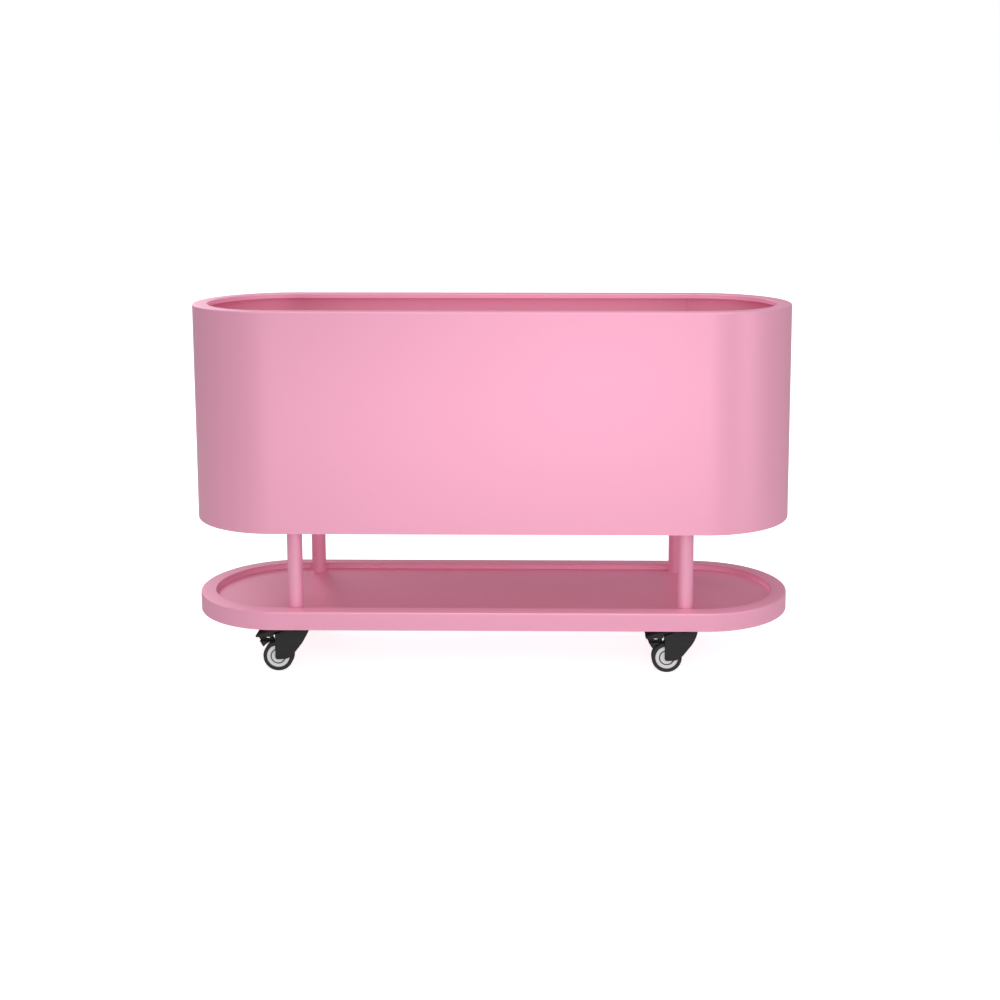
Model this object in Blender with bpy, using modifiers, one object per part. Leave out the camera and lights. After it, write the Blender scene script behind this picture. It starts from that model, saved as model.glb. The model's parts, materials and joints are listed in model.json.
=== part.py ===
"""Spa trolley cart: an open stadium-plan tub on four posts over a rimmed tray, on four braked swivel castors.

Metres, +Z up. The origin is on the floor under the middle of the cart, +X runs along its length and the front
faces -Y. Every castor trails towards -X with its brake released.
"""

import math

import bmesh
import bpy
from mathutils import Matrix, Vector

# Overall sizes
LENGTH = 1.000
WIDTH = 0.300
HEIGHT = 0.600
TUB_HEIGHT = 0.360
TRAY_HEIGHT = 0.030

# Sheet metal
SHEET = 0.0012
FLOOR_SHEET = 0.0020
RIM_WIDTH = 0.025
LIP_DROP = 0.008
TRAY_RECESS = 0.010
FLOOR_RAISE = 0.0015
SEAM_WIDTH = 0.004
SEAM_THICKNESS = 0.0008
SEAM_FROM_BEND = 0.013

# Posts
POST_DIAMETER = 0.025
POST_WALL = 0.0015
POST_FROM_BEND = 0.030
POST_RIM_CLEARANCE = 0.001
PLUG_HEIGHT = 0.012
BOLT_DIAMETER = 0.006
BOLT_HEAD_DIAMETER = 0.012
BOLT_HEAD_HEIGHT = 0.0035

# Castors
WHEEL_DIAMETER = 0.050
WHEEL_WIDTH = 0.018
TYRE_THICKNESS = 0.006
HUB_DISC_RADIUS = 0.0108
HUB_GROOVE_WIDTH = 0.0020
HUB_GROOVE_DEPTH = 0.0015
AXLE_DIAMETER = 0.004
TRAIL = 0.030
FORK_WIDTH = 0.030
WHEEL_SIDE_CLEARANCE = 0.0015
WHEEL_POCKET_CLEARANCE = 0.0035
LOBE_WALL = 0.0024
HEAD_RISE = 0.024
HEAD_REACH = 0.0205
DISH_WIDTH = 0.022
DISH_DEPTH = 0.0040
STEM_DIAMETER = 0.008
STEM_IN_FORK = 0.022
RACE_DIAMETER = 0.018
RACE_THICKNESS = 0.0025
SEAT_DEPTH = 0.0005
SOCKET_DIAMETER = 0.022
SOCKET_TIP_DIAMETER = 0.017
SOCKET_TAPER = 0.004
SOCKET_PROUD = 0.0074
PIN_DIAMETER = 0.003
PIN_AHEAD = 0.006
PIN_RISE = 0.0142
PEDAL_REACH = 0.0362
PEDAL_TIP_RISE = 0.0117
PEDAL_REAR = 0.0125
PEDAL_REAR_RISE = 0.0253
PEDAL_PLATE = 0.0035
BRAKE_TRAVEL = math.radians(5)
SHOE_GRIP_CLEARANCE = 0.0004

# Fits and facets
GAP = 0.0003
END_STEPS = 24
POST_STEPS = 16
WHEEL_STEPS = 24
POCKET_STEPS = 32
PIN_STEPS = 12

# Sizes worked out from the ones above
WHEEL_RADIUS = WHEEL_DIAMETER / 2
FORK_TOP = WHEEL_DIAMETER + HEAD_RISE
SEAT_Z = FORK_TOP - DISH_DEPTH - SEAT_DEPTH
RACE_LOW = SEAT_Z + GAP
SOCKET_LOW = RACE_LOW + RACE_THICKNESS + GAP
TRAY_LOW = SOCKET_LOW + SOCKET_PROUD
TRAY_TOP = TRAY_LOW + TRAY_HEIGHT
PAN_TOP = TRAY_TOP - TRAY_RECESS
PAN_LOW = PAN_TOP - SHEET
TUB_LOW = HEIGHT - TUB_HEIGHT
FLOOR_LOW = TUB_LOW + FLOOR_RAISE
FLOOR_TOP = FLOOR_LOW + FLOOR_SHEET
POST_LOW = PAN_TOP + GAP
POST_TOP = FLOOR_LOW - GAP
POST_RADIUS = POST_DIAMETER / 2
BEND_X = (LENGTH - WIDTH) / 2
POST_X = BEND_X - POST_FROM_BEND
POST_Y = WIDTH / 2 - RIM_WIDTH - POST_RIM_CLEARANCE - POST_RADIUS
PLUG_RADIUS = POST_RADIUS - POST_WALL - GAP
POCKET_WIDTH = WHEEL_WIDTH + 2 * WHEEL_SIDE_CLEARANCE
POCKET_RADIUS = WHEEL_RADIUS + WHEEL_POCKET_CLEARANCE
WEB_WIDTH = POCKET_WIDTH - 2 * WHEEL_SIDE_CLEARANCE
STEM_LOW = SEAT_Z - STEM_IN_FORK
LONG_CUT = 0.1

AXLE_AT = Vector((-TRAIL, 0, WHEEL_RADIUS))
CROWN = WHEEL_DIAMETER
PIN_AT = Vector((-TRAIL + PIN_AHEAD, 0, CROWN + PIN_RISE))

CORNERS = {
    "front_left": (-POST_X, -POST_Y),
    "front_right": (POST_X, -POST_Y),
    "rear_left": (-POST_X, POST_Y),
    "rear_right": (POST_X, POST_Y),
}


def clear_scene():
    for obj in list(bpy.data.objects):
        bpy.data.objects.remove(obj, do_unlink=True)


def new_collection(name):
    collection = bpy.data.collections.new(name)
    bpy.context.scene.collection.children.link(collection)
    return collection


def new_material(name, colour, roughness, metallic):
    material = bpy.data.materials.new(name)
    material.use_nodes = True
    material.diffuse_color = (*colour, 1)
    shader = material.node_tree.nodes["Principled BSDF"]
    shader.inputs["Base Color"].default_value = (*colour, 1)
    shader.inputs["Roughness"].default_value = roughness
    shader.inputs["Metallic"].default_value = metallic
    return material


clear_scene()
PARTS = new_collection("spa_trolley_cart")
CUTTERS = new_collection("cutters")
PINK_COAT = new_material("pink_powder_coat", (0.90, 0.40, 0.56), 0.45, 0.0)
BLACK_NYLON = new_material("black_nylon", (0.02, 0.021, 0.02), 0.50, 0.0)
WHITE_HUB = new_material("white_hub_plastic", (0.85, 0.85, 0.84), 0.35, 0.0)
TYRE_RUBBER = new_material("tyre_rubber", (0.035, 0.036, 0.036), 0.75, 0.0)
ZINC_STEEL = new_material("zinc_steel", (0.60, 0.60, 0.60), 0.35, 1.0)


# Outlines


def arc(centre, radius, start_deg, end_deg, steps):
    """Points along an arc, both ends included."""
    angles = [math.radians(start_deg + (end_deg - start_deg) * i / steps) for i in range(steps + 1)]
    return [(centre[0] + radius * math.cos(a), centre[1] + radius * math.sin(a)) for a in angles]


def stadium(inset):
    """The plan outline moved inwards by inset: two straight sides and two half-round ends."""
    radius = WIDTH / 2 - inset
    right = arc((BEND_X, 0), radius, -90, 90, END_STEPS)
    left = arc((-BEND_X, 0), radius, 90, 270, END_STEPS)
    return right + left


def ellipse(centre, half_width, half_height, tilt_deg=0):
    tilt = math.radians(tilt_deg)
    points = []
    for step in range(PIN_STEPS):
        angle = 2 * math.pi * step / PIN_STEPS
        across = half_width * math.cos(angle)
        up = half_height * math.sin(angle)
        x = centre[0] + across * math.cos(tilt) - up * math.sin(tilt)
        y = centre[1] + across * math.sin(tilt) + up * math.cos(tilt)
        points.append((x, y))
    return points


# Makers of simple solids


def put(obj, collection, material=None):
    collection.objects.link(obj)
    if material:
        obj.data.materials.clear()
        obj.data.materials.append(material)
    return obj


def evaluated_mesh(obj, name):
    """The object as a plain welded mesh, with its modifiers applied."""
    bpy.context.view_layer.update()
    graph = bpy.context.evaluated_depsgraph_get()
    mesh = bpy.data.meshes.new_from_object(obj.evaluated_get(graph))
    mesh.name = name
    work = bmesh.new()
    work.from_mesh(mesh)
    bmesh.ops.remove_doubles(work, verts=work.verts, dist=1e-6)
    work.to_mesh(mesh)
    work.free()
    return mesh


def plate(name, outlines, low, high):
    """A flat piece between two heights. Outlines after the first are its holes."""
    curve = bpy.data.curves.new(name + "_outline", "CURVE")
    curve.dimensions = "2D"
    curve.fill_mode = "BOTH"
    curve.extrude = (high - low) / 2
    for outline in outlines:
        spline = curve.splines.new("POLY")
        spline.points.add(len(outline) - 1)
        spline.use_cyclic_u = True
        for point, (x, y) in zip(spline.points, outline):
            point.co = (x, y, 0, 1)
    guide = bpy.data.objects.new(name + "_outline", curve)
    bpy.context.scene.collection.objects.link(guide)
    mesh = evaluated_mesh(guide, name)
    bpy.data.objects.remove(guide, do_unlink=True)
    mesh.transform(Matrix.Translation((0, 0, (low + high) / 2)))
    return bpy.data.objects.new(name, mesh)


def upright_plate(name, outlines, thickness):
    """A flat piece whose outline is given in x and z, centred on the plane y = 0."""
    obj = plate(name, outlines, -thickness / 2, thickness / 2)
    obj.data.transform(Matrix.Rotation(math.pi / 2, 4, "X"))
    return obj


def turned(name, profile, closed, steps=PIN_STEPS):
    """A profile of (radius, height) points, outer side running down, turned about Z."""
    mesh = bpy.data.meshes.new(name)
    work = bmesh.new()
    points = [work.verts.new((radius, 0, height)) for radius, height in profile]
    for first, second in zip(points, points[1:]):
        work.edges.new((first, second))
    if closed:
        work.edges.new((points[-1], points[0]))
    work.to_mesh(mesh)
    work.free()
    obj = bpy.data.objects.new(name, mesh)
    screw = obj.modifiers.new("turn", "SCREW")
    screw.steps = steps
    screw.render_steps = steps
    screw.use_merge_vertices = True
    screw.merge_threshold = 1e-5
    return obj


def ring(name, outer, inner, low, high, steps=PIN_STEPS):
    return turned(name, [(inner, high), (outer, high), (outer, low), (inner, low)], True, steps)


def rod(name, radius, low, high, steps=PIN_STEPS):
    return turned(name, [(0, high), (radius, high), (radius, low), (0, low)], False, steps)


def flatten(obj):
    """Applies the object's modifiers and shades its round faces smooth. Returns its mesh, and removes it."""
    bpy.context.scene.collection.objects.link(obj)
    mesh = evaluated_mesh(obj, obj.name)
    bpy.data.objects.remove(obj, do_unlink=True)
    mesh.shade_smooth()
    mesh.set_sharp_from_angle(angle=math.radians(35))
    return mesh


def boolean(obj, other, operation):
    other.hide_render = True
    other.display_type = "WIRE"
    if not other.users_collection:
        CUTTERS.objects.link(other)
    modifier = obj.modifiers.new(operation.lower(), "BOOLEAN")
    modifier.operation = operation
    modifier.solver = "EXACT"
    modifier.object = other


def finished(obj, others):
    """Cuts or joins the listed (operation, solid) pairs and returns the mesh, with the helpers removed."""
    for operation, other in others:
        boolean(obj, other, operation)
    mesh = flatten(obj)
    for _, other in others:
        bpy.data.objects.remove(other, do_unlink=True)
    return mesh


def sideways(obj, at):
    """Lays a turned solid along Y, through the given point."""
    mesh = flatten(obj)
    mesh.transform(Matrix.Translation(at) @ Matrix.Rotation(math.pi / 2, 4, "X"))
    return bpy.data.objects.new(mesh.name, mesh)


def box(name, low, high):
    low, high = Vector(low), Vector(high)
    size = high - low
    mesh = bpy.data.meshes.new(name)
    work = bmesh.new()
    bmesh.ops.create_cube(work, size=1)
    bmesh.ops.scale(work, verts=work.verts, vec=size)
    bmesh.ops.translate(work, verts=work.verts, vec=(low + high) / 2)
    work.to_mesh(mesh)
    work.free()
    return bpy.data.objects.new(name, mesh)


def four_copies(name, mesh, material, parents, at=(0, 0, 0)):
    """One object at each corner, all sharing the mesh, each placed from its corner's parent empty."""
    mesh.materials.clear()
    mesh.materials.append(material)
    for corner, parent in parents.items():
        obj = bpy.data.objects.new(f"{name}_{corner}", mesh)
        obj.parent = parent
        obj.location = at
        PARTS.objects.link(obj)


def empties(name, parents, at):
    """An empty at each corner, on a joint's axis."""
    made = {}
    for corner, parent in parents.items():
        empty = bpy.data.objects.new(f"{name}_{corner}", None)
        empty.parent = parent
        empty.location = at
        PARTS.objects.link(empty)
        made[corner] = empty
    return made


# Tub


def tub_wall():
    top = HEIGHT - SHEET - GAP
    obj = plate("tub_wall", [stadium(0), stadium(SHEET)], TUB_LOW, top)
    put(obj, PARTS, PINK_COAT)


def tub_rim():
    obj = plate("tub_rim_plate", [stadium(0), stadium(RIM_WIDTH)], HEIGHT - SHEET, HEIGHT)
    put(obj, PARTS, PINK_COAT)
    top = HEIGHT - SHEET - GAP
    low = HEIGHT - LIP_DROP
    obj = plate("tub_rim_lip", [stadium(RIM_WIDTH - SHEET), stadium(RIM_WIDTH)], low, top)
    put(obj, PARTS, PINK_COAT)


def tub_floor():
    holes = [arc(at, BOLT_DIAMETER / 2 + GAP, 0, 360, PIN_STEPS)[:-1] for at in CORNERS.values()]
    obj = plate("tub_floor", [stadium(SHEET + GAP), *holes], FLOOR_LOW, FLOOR_TOP)
    put(obj, PARTS, PINK_COAT)


def wall_seam_strip():
    """The folded seam where the two ends of the wall sheet meet, inside the back."""
    middle = BEND_X - SEAM_FROM_BEND
    back = WIDTH / 2 - SHEET - GAP
    low = (middle - SEAM_WIDTH / 2, back - SEAM_THICKNESS, FLOOR_TOP + GAP)
    high = (middle + SEAM_WIDTH / 2, back, HEIGHT - SHEET - GAP)
    put(box("wall_seam_strip", low, high), PARTS, PINK_COAT)


# Tray


def tray_wall():
    top = TRAY_TOP - SHEET - GAP
    obj = plate("tray_wall", [stadium(0), stadium(SHEET)], TRAY_LOW, top)
    put(obj, PARTS, PINK_COAT)


def tray_rim_plate():
    obj = plate("tray_rim_plate", [stadium(0), stadium(RIM_WIDTH)], TRAY_TOP - SHEET, TRAY_TOP)
    put(obj, PARTS, PINK_COAT)


def tray_pan():
    """The tray's floor, its edge turned up to meet the underside of the rim."""
    top = TRAY_TOP - SHEET - GAP
    hole_radius = STEM_DIAMETER / 2 + GAP
    holes = [arc(at, hole_radius, 0, 360, PIN_STEPS)[:-1] for at in CORNERS.values()]
    obj = plate("tray_pan", [stadium(RIM_WIDTH - SHEET), *holes], PAN_LOW, top)
    inside = plate("tray_pan_hollow", [stadium(RIM_WIDTH)], PAN_TOP, TRAY_TOP + LONG_CUT)
    put(obj, PARTS, PINK_COAT)
    boolean(obj, inside, "DIFFERENCE")


# Posts, with the plugs, bolts and sockets at their ends


def posts(parents):
    shell = ring("post", POST_RADIUS, POST_RADIUS - POST_WALL, POST_LOW, POST_TOP, POST_STEPS)
    four_copies("post", flatten(shell), PINK_COAT, parents)

    bolt_hole = BOLT_DIAMETER / 2 + GAP
    top_plug = ring("post_top_plug", PLUG_RADIUS, bolt_hole, POST_TOP - PLUG_HEIGHT, POST_TOP)
    four_copies("post_top_plug", flatten(top_plug), ZINC_STEEL, parents)

    stem_hole = STEM_DIAMETER / 2 + GAP
    bottom_plug = ring("post_bottom_plug", PLUG_RADIUS, stem_hole, POST_LOW, POST_LOW + PLUG_HEIGHT)
    four_copies("post_bottom_plug", flatten(bottom_plug), ZINC_STEEL, parents)

    socket = [
        (stem_hole, PAN_LOW - GAP),
        (SOCKET_DIAMETER / 2, PAN_LOW - GAP),
        (SOCKET_DIAMETER / 2, SOCKET_LOW + SOCKET_TAPER),
        (SOCKET_TIP_DIAMETER / 2, SOCKET_LOW),
        (stem_hole, SOCKET_LOW),
    ]
    four_copies("castor_socket", flatten(turned("castor_socket", socket, True)), PINK_COAT, parents)

    seat = FLOOR_TOP + GAP
    head = BOLT_HEAD_DIAMETER / 2
    profile = [
        (0, seat + BOLT_HEAD_HEIGHT),
        (head * 0.55, seat + BOLT_HEAD_HEIGHT),
        (head * 0.87, seat + BOLT_HEAD_HEIGHT * 0.70),
        (head, seat + BOLT_HEAD_HEIGHT * 0.20),
        (head, seat),
        (BOLT_DIAMETER / 2, seat),
        (BOLT_DIAMETER / 2, POST_TOP - PLUG_HEIGHT),
        (0, POST_TOP - PLUG_HEIGHT),
    ]
    four_copies("post_top_bolt", flatten(turned("post_top_bolt", profile, False)), ZINC_STEEL, parents)


# Castors. Outlines are in x from the swivel axis and z from the floor.


def fork_outline():
    """The housing from the side: an axle lobe, a sloping front edge and a dished top, low under the pedal."""
    axle_x, axle_z = AXLE_AT.x, AXLE_AT.z
    lobe = AXLE_DIAMETER / 2 + LOBE_WALL
    left = axle_x - lobe
    dish_radius = (DISH_WIDTH ** 2 / 4 + DISH_DEPTH ** 2) / (2 * DISH_DEPTH)
    dish_angle = math.degrees(math.asin(DISH_WIDTH / 2 / dish_radius))
    dish = arc((0, FORK_TOP - DISH_DEPTH + dish_radius), dish_radius, 270 + dish_angle, 270 - dish_angle, 8)
    plate_rear = axle_x + PEDAL_REAR + 2 * GAP
    under_plate = CROWN + PEDAL_REAR_RISE - PEDAL_PLATE - 2 * GAP
    slope = (PEDAL_REAR_RISE - PEDAL_TIP_RISE) / (PEDAL_REAR + PEDAL_REACH)
    swing_room = math.sin(BRAKE_TRAVEL) * (PIN_AT.x - left) + 2 * GAP
    left_top = under_plate - slope * (plate_rear - left) - swing_room
    return [
        *arc((axle_x, axle_z), lobe, 180, 290, 8),
        (axle_x + WHEEL_RADIUS * 0.46, axle_z - 0.0012),
        (axle_x + WHEEL_RADIUS * 0.80, axle_z + 0.0005),
        (axle_x + WHEEL_RADIUS, axle_z + 0.0042),
        (HEAD_REACH - 0.0085, FORK_TOP - 0.0235),
        (HEAD_REACH - 0.0030, FORK_TOP - 0.0130),
        (HEAD_REACH - 0.0004, FORK_TOP - 0.0040),
        (HEAD_REACH, FORK_TOP - 0.0008),
        (HEAD_REACH - 0.0010, FORK_TOP),
        *dish,
        (plate_rear + 0.0010, FORK_TOP + 0.0008),
        (plate_rear, FORK_TOP + 0.0004),
        (plate_rear, under_plate),
        (PIN_AT.x, under_plate - slope * (plate_rear - PIN_AT.x) - GAP),
        (left, left_top),
    ]


def fork_mesh():
    body = upright_plate("castor_fork", [fork_outline()], FORK_WIDTH)
    half = POCKET_WIDTH / 2
    slot_low = (AXLE_AT.x - LONG_CUT, -half, CROWN - 0.005)
    slot_high = (AXLE_AT.x + PEDAL_REAR + GAP, half, CROWN + LONG_CUT)
    stem_hole = STEM_DIAMETER / 2 + GAP
    across = FORK_WIDTH
    cuts = [
        ("DIFFERENCE", sideways(rod("wheel_pocket", POCKET_RADIUS, -half, half, POCKET_STEPS), AXLE_AT)),
        ("DIFFERENCE", box("pedal_slot", slot_low, slot_high)),
        ("DIFFERENCE", sideways(rod("axle_bore", AXLE_DIAMETER / 2 + GAP, -across, across), AXLE_AT)),
        ("DIFFERENCE", sideways(rod("pin_bore", PIN_DIAMETER / 2 + GAP, -across, across), PIN_AT)),
        ("DIFFERENCE", rod("stem_bore", stem_hole, STEM_LOW - GAP, FORK_TOP + LONG_CUT)),
        ("DIFFERENCE", rod("race_seat", RACE_DIAMETER / 2 + GAP, SEAT_Z, FORK_TOP + LONG_CUT)),
    ]
    return finished(body, cuts)


def released(point):
    """Where a point of the pressed pedal lies once the brake is let go."""
    return PIN_AT + Matrix.Rotation(BRAKE_TRAVEL, 3, "Y") @ (Vector(point) - PIN_AT)


def pedal_mesh():
    axle_x = AXLE_AT.x
    left = axle_x - AXLE_DIAMETER / 2 - LOBE_WALL
    tip = (axle_x - PEDAL_REACH, CROWN + PEDAL_TIP_RISE)
    bend = (axle_x - 0.0210, CROWN + 0.0174)
    rear = (axle_x + PEDAL_REAR, CROWN + PEDAL_REAR_RISE)
    rear_low = (rear[0], rear[1] - PEDAL_PLATE)
    eye = PIN_DIAMETER / 2 + 0.003
    web = [
        tip,
        (axle_x - PEDAL_REACH + 0.0044, CROWN + 0.0036),
        (axle_x - 0.0246, CROWN - 0.0080),
        (axle_x - 0.0180, CROWN - 0.0100),
        (axle_x + 0.0010, CROWN - 0.0020),
        (axle_x + 0.0010, CROWN + 0.0045),
        *arc((PIN_AT.x, PIN_AT.z), eye, 250, 360, 6),
        rear_low,
        rear,
        bend,
    ]
    skirt_low = CROWN + 0.0100
    slope = (PEDAL_REAR_RISE - 0.0174) / (PEDAL_REAR + 0.0210)
    skirt_rear = left - 0.0020
    plate_outline = [
        tip,
        (axle_x - PEDAL_REACH + 0.0026, skirt_low - 0.0014),
        (axle_x - 0.0240, skirt_low),
        (skirt_rear, skirt_low),
        (skirt_rear + 0.0012, rear_low[1] - slope * (rear[0] - skirt_rear)),
        rear_low,
        rear,
        bend,
    ]
    windows = [
        ellipse((axle_x - 0.0288, CROWN + 0.0072), 0.0042, 0.0015, -12),
        ellipse((axle_x - 0.0183, CROWN + 0.0055), 0.0041, 0.0030, 8),
        ellipse((axle_x - 0.0082, CROWN + 0.0062), 0.0040, 0.0036, -40),
    ]
    long = FORK_WIDTH + LONG_CUT
    across = FORK_WIDTH
    wheel_at = released(AXLE_AT)
    grip_radius = WHEEL_RADIUS + SHOE_GRIP_CLEARANCE
    others = [
        ("UNION", upright_plate("pedal_plate", [plate_outline], FORK_WIDTH)),
        ("DIFFERENCE", sideways(rod("shoe_cut", grip_radius, -across, across, POCKET_STEPS), wheel_at)),
        ("DIFFERENCE", sideways(rod("pin_bore", PIN_DIAMETER / 2 + GAP, -across, across), PIN_AT)),
    ]
    for index, window in enumerate(windows):
        others.append(("DIFFERENCE", upright_plate(f"window_{index}", [window], long)))
    return finished(upright_plate("brake_pedal", [web], WEB_WIDTH), others)


def hub_profile():
    half = WHEEL_WIDTH / 2
    inner, outer = HUB_DISC_RADIUS, HUB_DISC_RADIUS + HUB_GROOVE_WIDTH
    face = [
        (AXLE_DIAMETER / 2 + GAP, half),
        (inner, half),
        (inner, half - HUB_GROOVE_DEPTH),
        (outer, half - HUB_GROOVE_DEPTH),
        (outer, half),
        (WHEEL_RADIUS - TYRE_THICKNESS - GAP, half),
    ]
    return face + [(radius, -height) for radius, height in reversed(face)]


def tyre_profile():
    half = WHEEL_WIDTH / 2
    side = [
        (WHEEL_RADIUS - TYRE_THICKNESS, half),
        (WHEEL_RADIUS - 0.0022, half),
        (WHEEL_RADIUS - 0.0007, half - 0.0012),
        (WHEEL_RADIUS, half - 0.0040),
    ]
    return side + [(radius, -height) for radius, height in reversed(side)]


def castors(parents):
    stem_top = POST_LOW + PLUG_HEIGHT
    stem_radius = STEM_DIAMETER / 2
    chamfer = 0.0008
    stem = [
        (0, stem_top),
        (stem_radius - chamfer, stem_top),
        (stem_radius, stem_top - chamfer),
        (stem_radius, STEM_LOW + chamfer),
        (stem_radius - chamfer, STEM_LOW),
        (0, STEM_LOW),
    ]
    four_copies("castor_stem", flatten(turned("castor_stem", stem, False)), ZINC_STEEL, parents)

    race = ring("swivel_race", RACE_DIAMETER / 2, stem_radius + GAP, RACE_LOW, RACE_LOW + RACE_THICKNESS)
    four_copies("swivel_race", flatten(race), ZINC_STEEL, parents)

    four_copies("castor_fork", fork_mesh(), BLACK_NYLON, parents)

    axles = empties("axle_line", parents, AXLE_AT)
    half = FORK_WIDTH / 2 - GAP
    axle = sideways(rod("wheel_axle", AXLE_DIAMETER / 2, -half, half), (0, 0, 0))
    four_copies("wheel_axle", axle.data, ZINC_STEEL, axles)
    hub = sideways(turned("wheel_hub", hub_profile(), True, WHEEL_STEPS), (0, 0, 0))
    four_copies("wheel_hub", hub.data, WHITE_HUB, axles)
    tyre = sideways(turned("wheel_tyre", tyre_profile(), True, WHEEL_STEPS), (0, 0, 0))
    four_copies("wheel_tyre", tyre.data, TYRE_RUBBER, axles)
    for spare in (axle, hub, tyre):
        bpy.data.objects.remove(spare, do_unlink=True)

    pins = empties("pedal_line", parents, PIN_AT)
    pin = sideways(rod("brake_pin", PIN_DIAMETER / 2, -half, half), (0, 0, 0))
    four_copies("brake_pin", pin.data, ZINC_STEEL, pins)
    bpy.data.objects.remove(pin, do_unlink=True)
    pedal = pedal_mesh()
    pedal.transform(Matrix.Translation(-PIN_AT))
    four_copies("brake_pedal", pedal, BLACK_NYLON, pins)


tub_wall()
tub_rim()
tub_floor()
wall_seam_strip()
tray_wall()
tray_rim_plate()
tray_pan()
SWIVEL_AXES = {}
for corner_name, (corner_x, corner_y) in CORNERS.items():
    axis = bpy.data.objects.new(f"swivel_axis_{corner_name}", None)
    axis.location = (corner_x, corner_y, 0)
    PARTS.objects.link(axis)
    SWIVEL_AXES[corner_name] = axis
posts(SWIVEL_AXES)
castors(SWIVEL_AXES)
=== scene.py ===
"""Finished surfaces for a spa trolley cart: a folded tub over a rimmed tray, on braked swivel castors.

Metres, +Z up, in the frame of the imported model, whose boxes give every place and overall size.
"""

import json
import math

import bmesh
import bpy
from bpy.props import FloatProperty, FloatVectorProperty, IntProperty, PointerProperty
from mathutils import Matrix, Vector

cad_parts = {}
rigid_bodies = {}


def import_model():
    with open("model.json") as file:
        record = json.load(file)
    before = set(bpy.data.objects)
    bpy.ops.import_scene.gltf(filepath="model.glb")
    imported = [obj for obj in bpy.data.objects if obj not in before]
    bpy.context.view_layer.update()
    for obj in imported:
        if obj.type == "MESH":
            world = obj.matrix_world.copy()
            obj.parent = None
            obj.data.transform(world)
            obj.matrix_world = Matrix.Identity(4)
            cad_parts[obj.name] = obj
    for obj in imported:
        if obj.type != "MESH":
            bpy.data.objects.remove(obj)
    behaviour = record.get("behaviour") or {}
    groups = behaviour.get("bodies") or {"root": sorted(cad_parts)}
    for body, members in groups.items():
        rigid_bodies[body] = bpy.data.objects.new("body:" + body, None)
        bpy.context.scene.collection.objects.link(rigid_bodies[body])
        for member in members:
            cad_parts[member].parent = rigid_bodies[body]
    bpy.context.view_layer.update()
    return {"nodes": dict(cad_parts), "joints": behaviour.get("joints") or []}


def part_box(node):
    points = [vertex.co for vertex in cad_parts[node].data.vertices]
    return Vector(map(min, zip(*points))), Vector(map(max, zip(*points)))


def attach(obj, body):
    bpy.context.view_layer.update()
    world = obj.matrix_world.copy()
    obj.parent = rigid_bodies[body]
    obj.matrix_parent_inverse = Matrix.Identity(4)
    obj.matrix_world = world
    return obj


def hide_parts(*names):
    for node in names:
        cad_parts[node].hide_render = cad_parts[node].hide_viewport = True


bl_info = {
    "name": "Spa Trolley Cart",
    "version": (1, 0, 0),
    "blender": (4, 5, 0),
    "location": "View3D > Sidebar > Spa Cart",
    "description": "Builds the folded metal, castors and finishes of a spa trolley cart",
    "category": "Add Mesh",
}

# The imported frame

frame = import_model()

for startup in [o for o in bpy.context.scene.objects if o.name in ("Cube", "Light", "Camera")]:
    bpy.data.objects.remove(startup, do_unlink=True)

CORNERS = ("front_left", "front_right", "rear_left", "rear_right")


def middle(node):
    low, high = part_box(node)
    return (low + high) / 2


def span(node):
    low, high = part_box(node)
    return high - low


# Sheet metal
LENGTH, WIDTH, _ = span("tub_wall")
TUB_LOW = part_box("tub_wall")[0].z
RIM_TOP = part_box("tub_rim_plate")[1].z
SHEET = span("tub_rim_plate").z
RIM_WIDTH = WIDTH / 2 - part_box("tub_rim_lip")[1].y + SHEET
LIP_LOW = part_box("tub_rim_lip")[0].z
FLOOR_LOW, FLOOR_TOP = (corner.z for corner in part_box("tub_floor"))
FLOOR_INSET = WIDTH / 2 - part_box("tub_floor")[1].y
TRAY_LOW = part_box("tray_wall")[0].z
TRAY_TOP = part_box("tray_rim_plate")[1].z
PAN_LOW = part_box("tray_pan")[0].z
PAN_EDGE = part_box("tray_pan")[1].z
FIT_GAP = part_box("tray_rim_plate")[0].z - PAN_EDGE

# Posts and swivels, the same at each corner
POST_AT = {corner: Vector((middle(f"post_{corner}").x, middle(f"post_{corner}").y, 0)) for corner in CORNERS}
POST_LOW, POST_TOP = (corner.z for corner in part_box("post_front_left"))
POST_RADIUS = span("post_front_left").x / 2
SPACING_X = POST_AT["front_right"].x - POST_AT["front_left"].x
SPACING_Y = POST_AT["rear_left"].y - POST_AT["front_left"].y
SOCKET_LOW, SOCKET_TOP = (corner.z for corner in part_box("castor_socket_front_left"))
SOCKET_RADIUS = span("castor_socket_front_left").x / 2
RACE_LOW, RACE_TOP = (corner.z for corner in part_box("swivel_race_front_left"))
RACE_RADIUS = span("swivel_race_front_left").x / 2
STEM_RADIUS = span("castor_stem_front_left").x / 2
BOLT_HEAD_RADIUS = span("post_top_bolt_front_left").x / 2
BOLT_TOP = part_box("post_top_bolt_front_left")[1].z

# One castor, in x from its swivel axis and z from the floor
AXLE = middle("wheel_axle_front_left") - POST_AT["front_left"]
PIN = middle("brake_pin_front_left") - POST_AT["front_left"]
AXLE_RADIUS = span("wheel_axle_front_left").x / 2
PIN_RADIUS = span("brake_pin_front_left").x / 2
FORK_WIDTH = span("castor_fork_front_left").y
FORK_TOP = RACE_TOP + 0.0017
FORK_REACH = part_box("castor_fork_front_left")[1].x - POST_AT["front_left"].x
WHEEL_RADIUS = span("wheel_tyre_front_left").z / 2
WHEEL_WIDTH = span("wheel_tyre_front_left").y
HUB_RADIUS = span("wheel_hub_front_left").z / 2
CROWN = 2 * WHEEL_RADIUS
BRAKE = next(j for j in frame["joints"] if j["name"] == "brake_front_left")
BRAKE_TRAVEL = math.radians(BRAKE["range_deg"][1])

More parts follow.
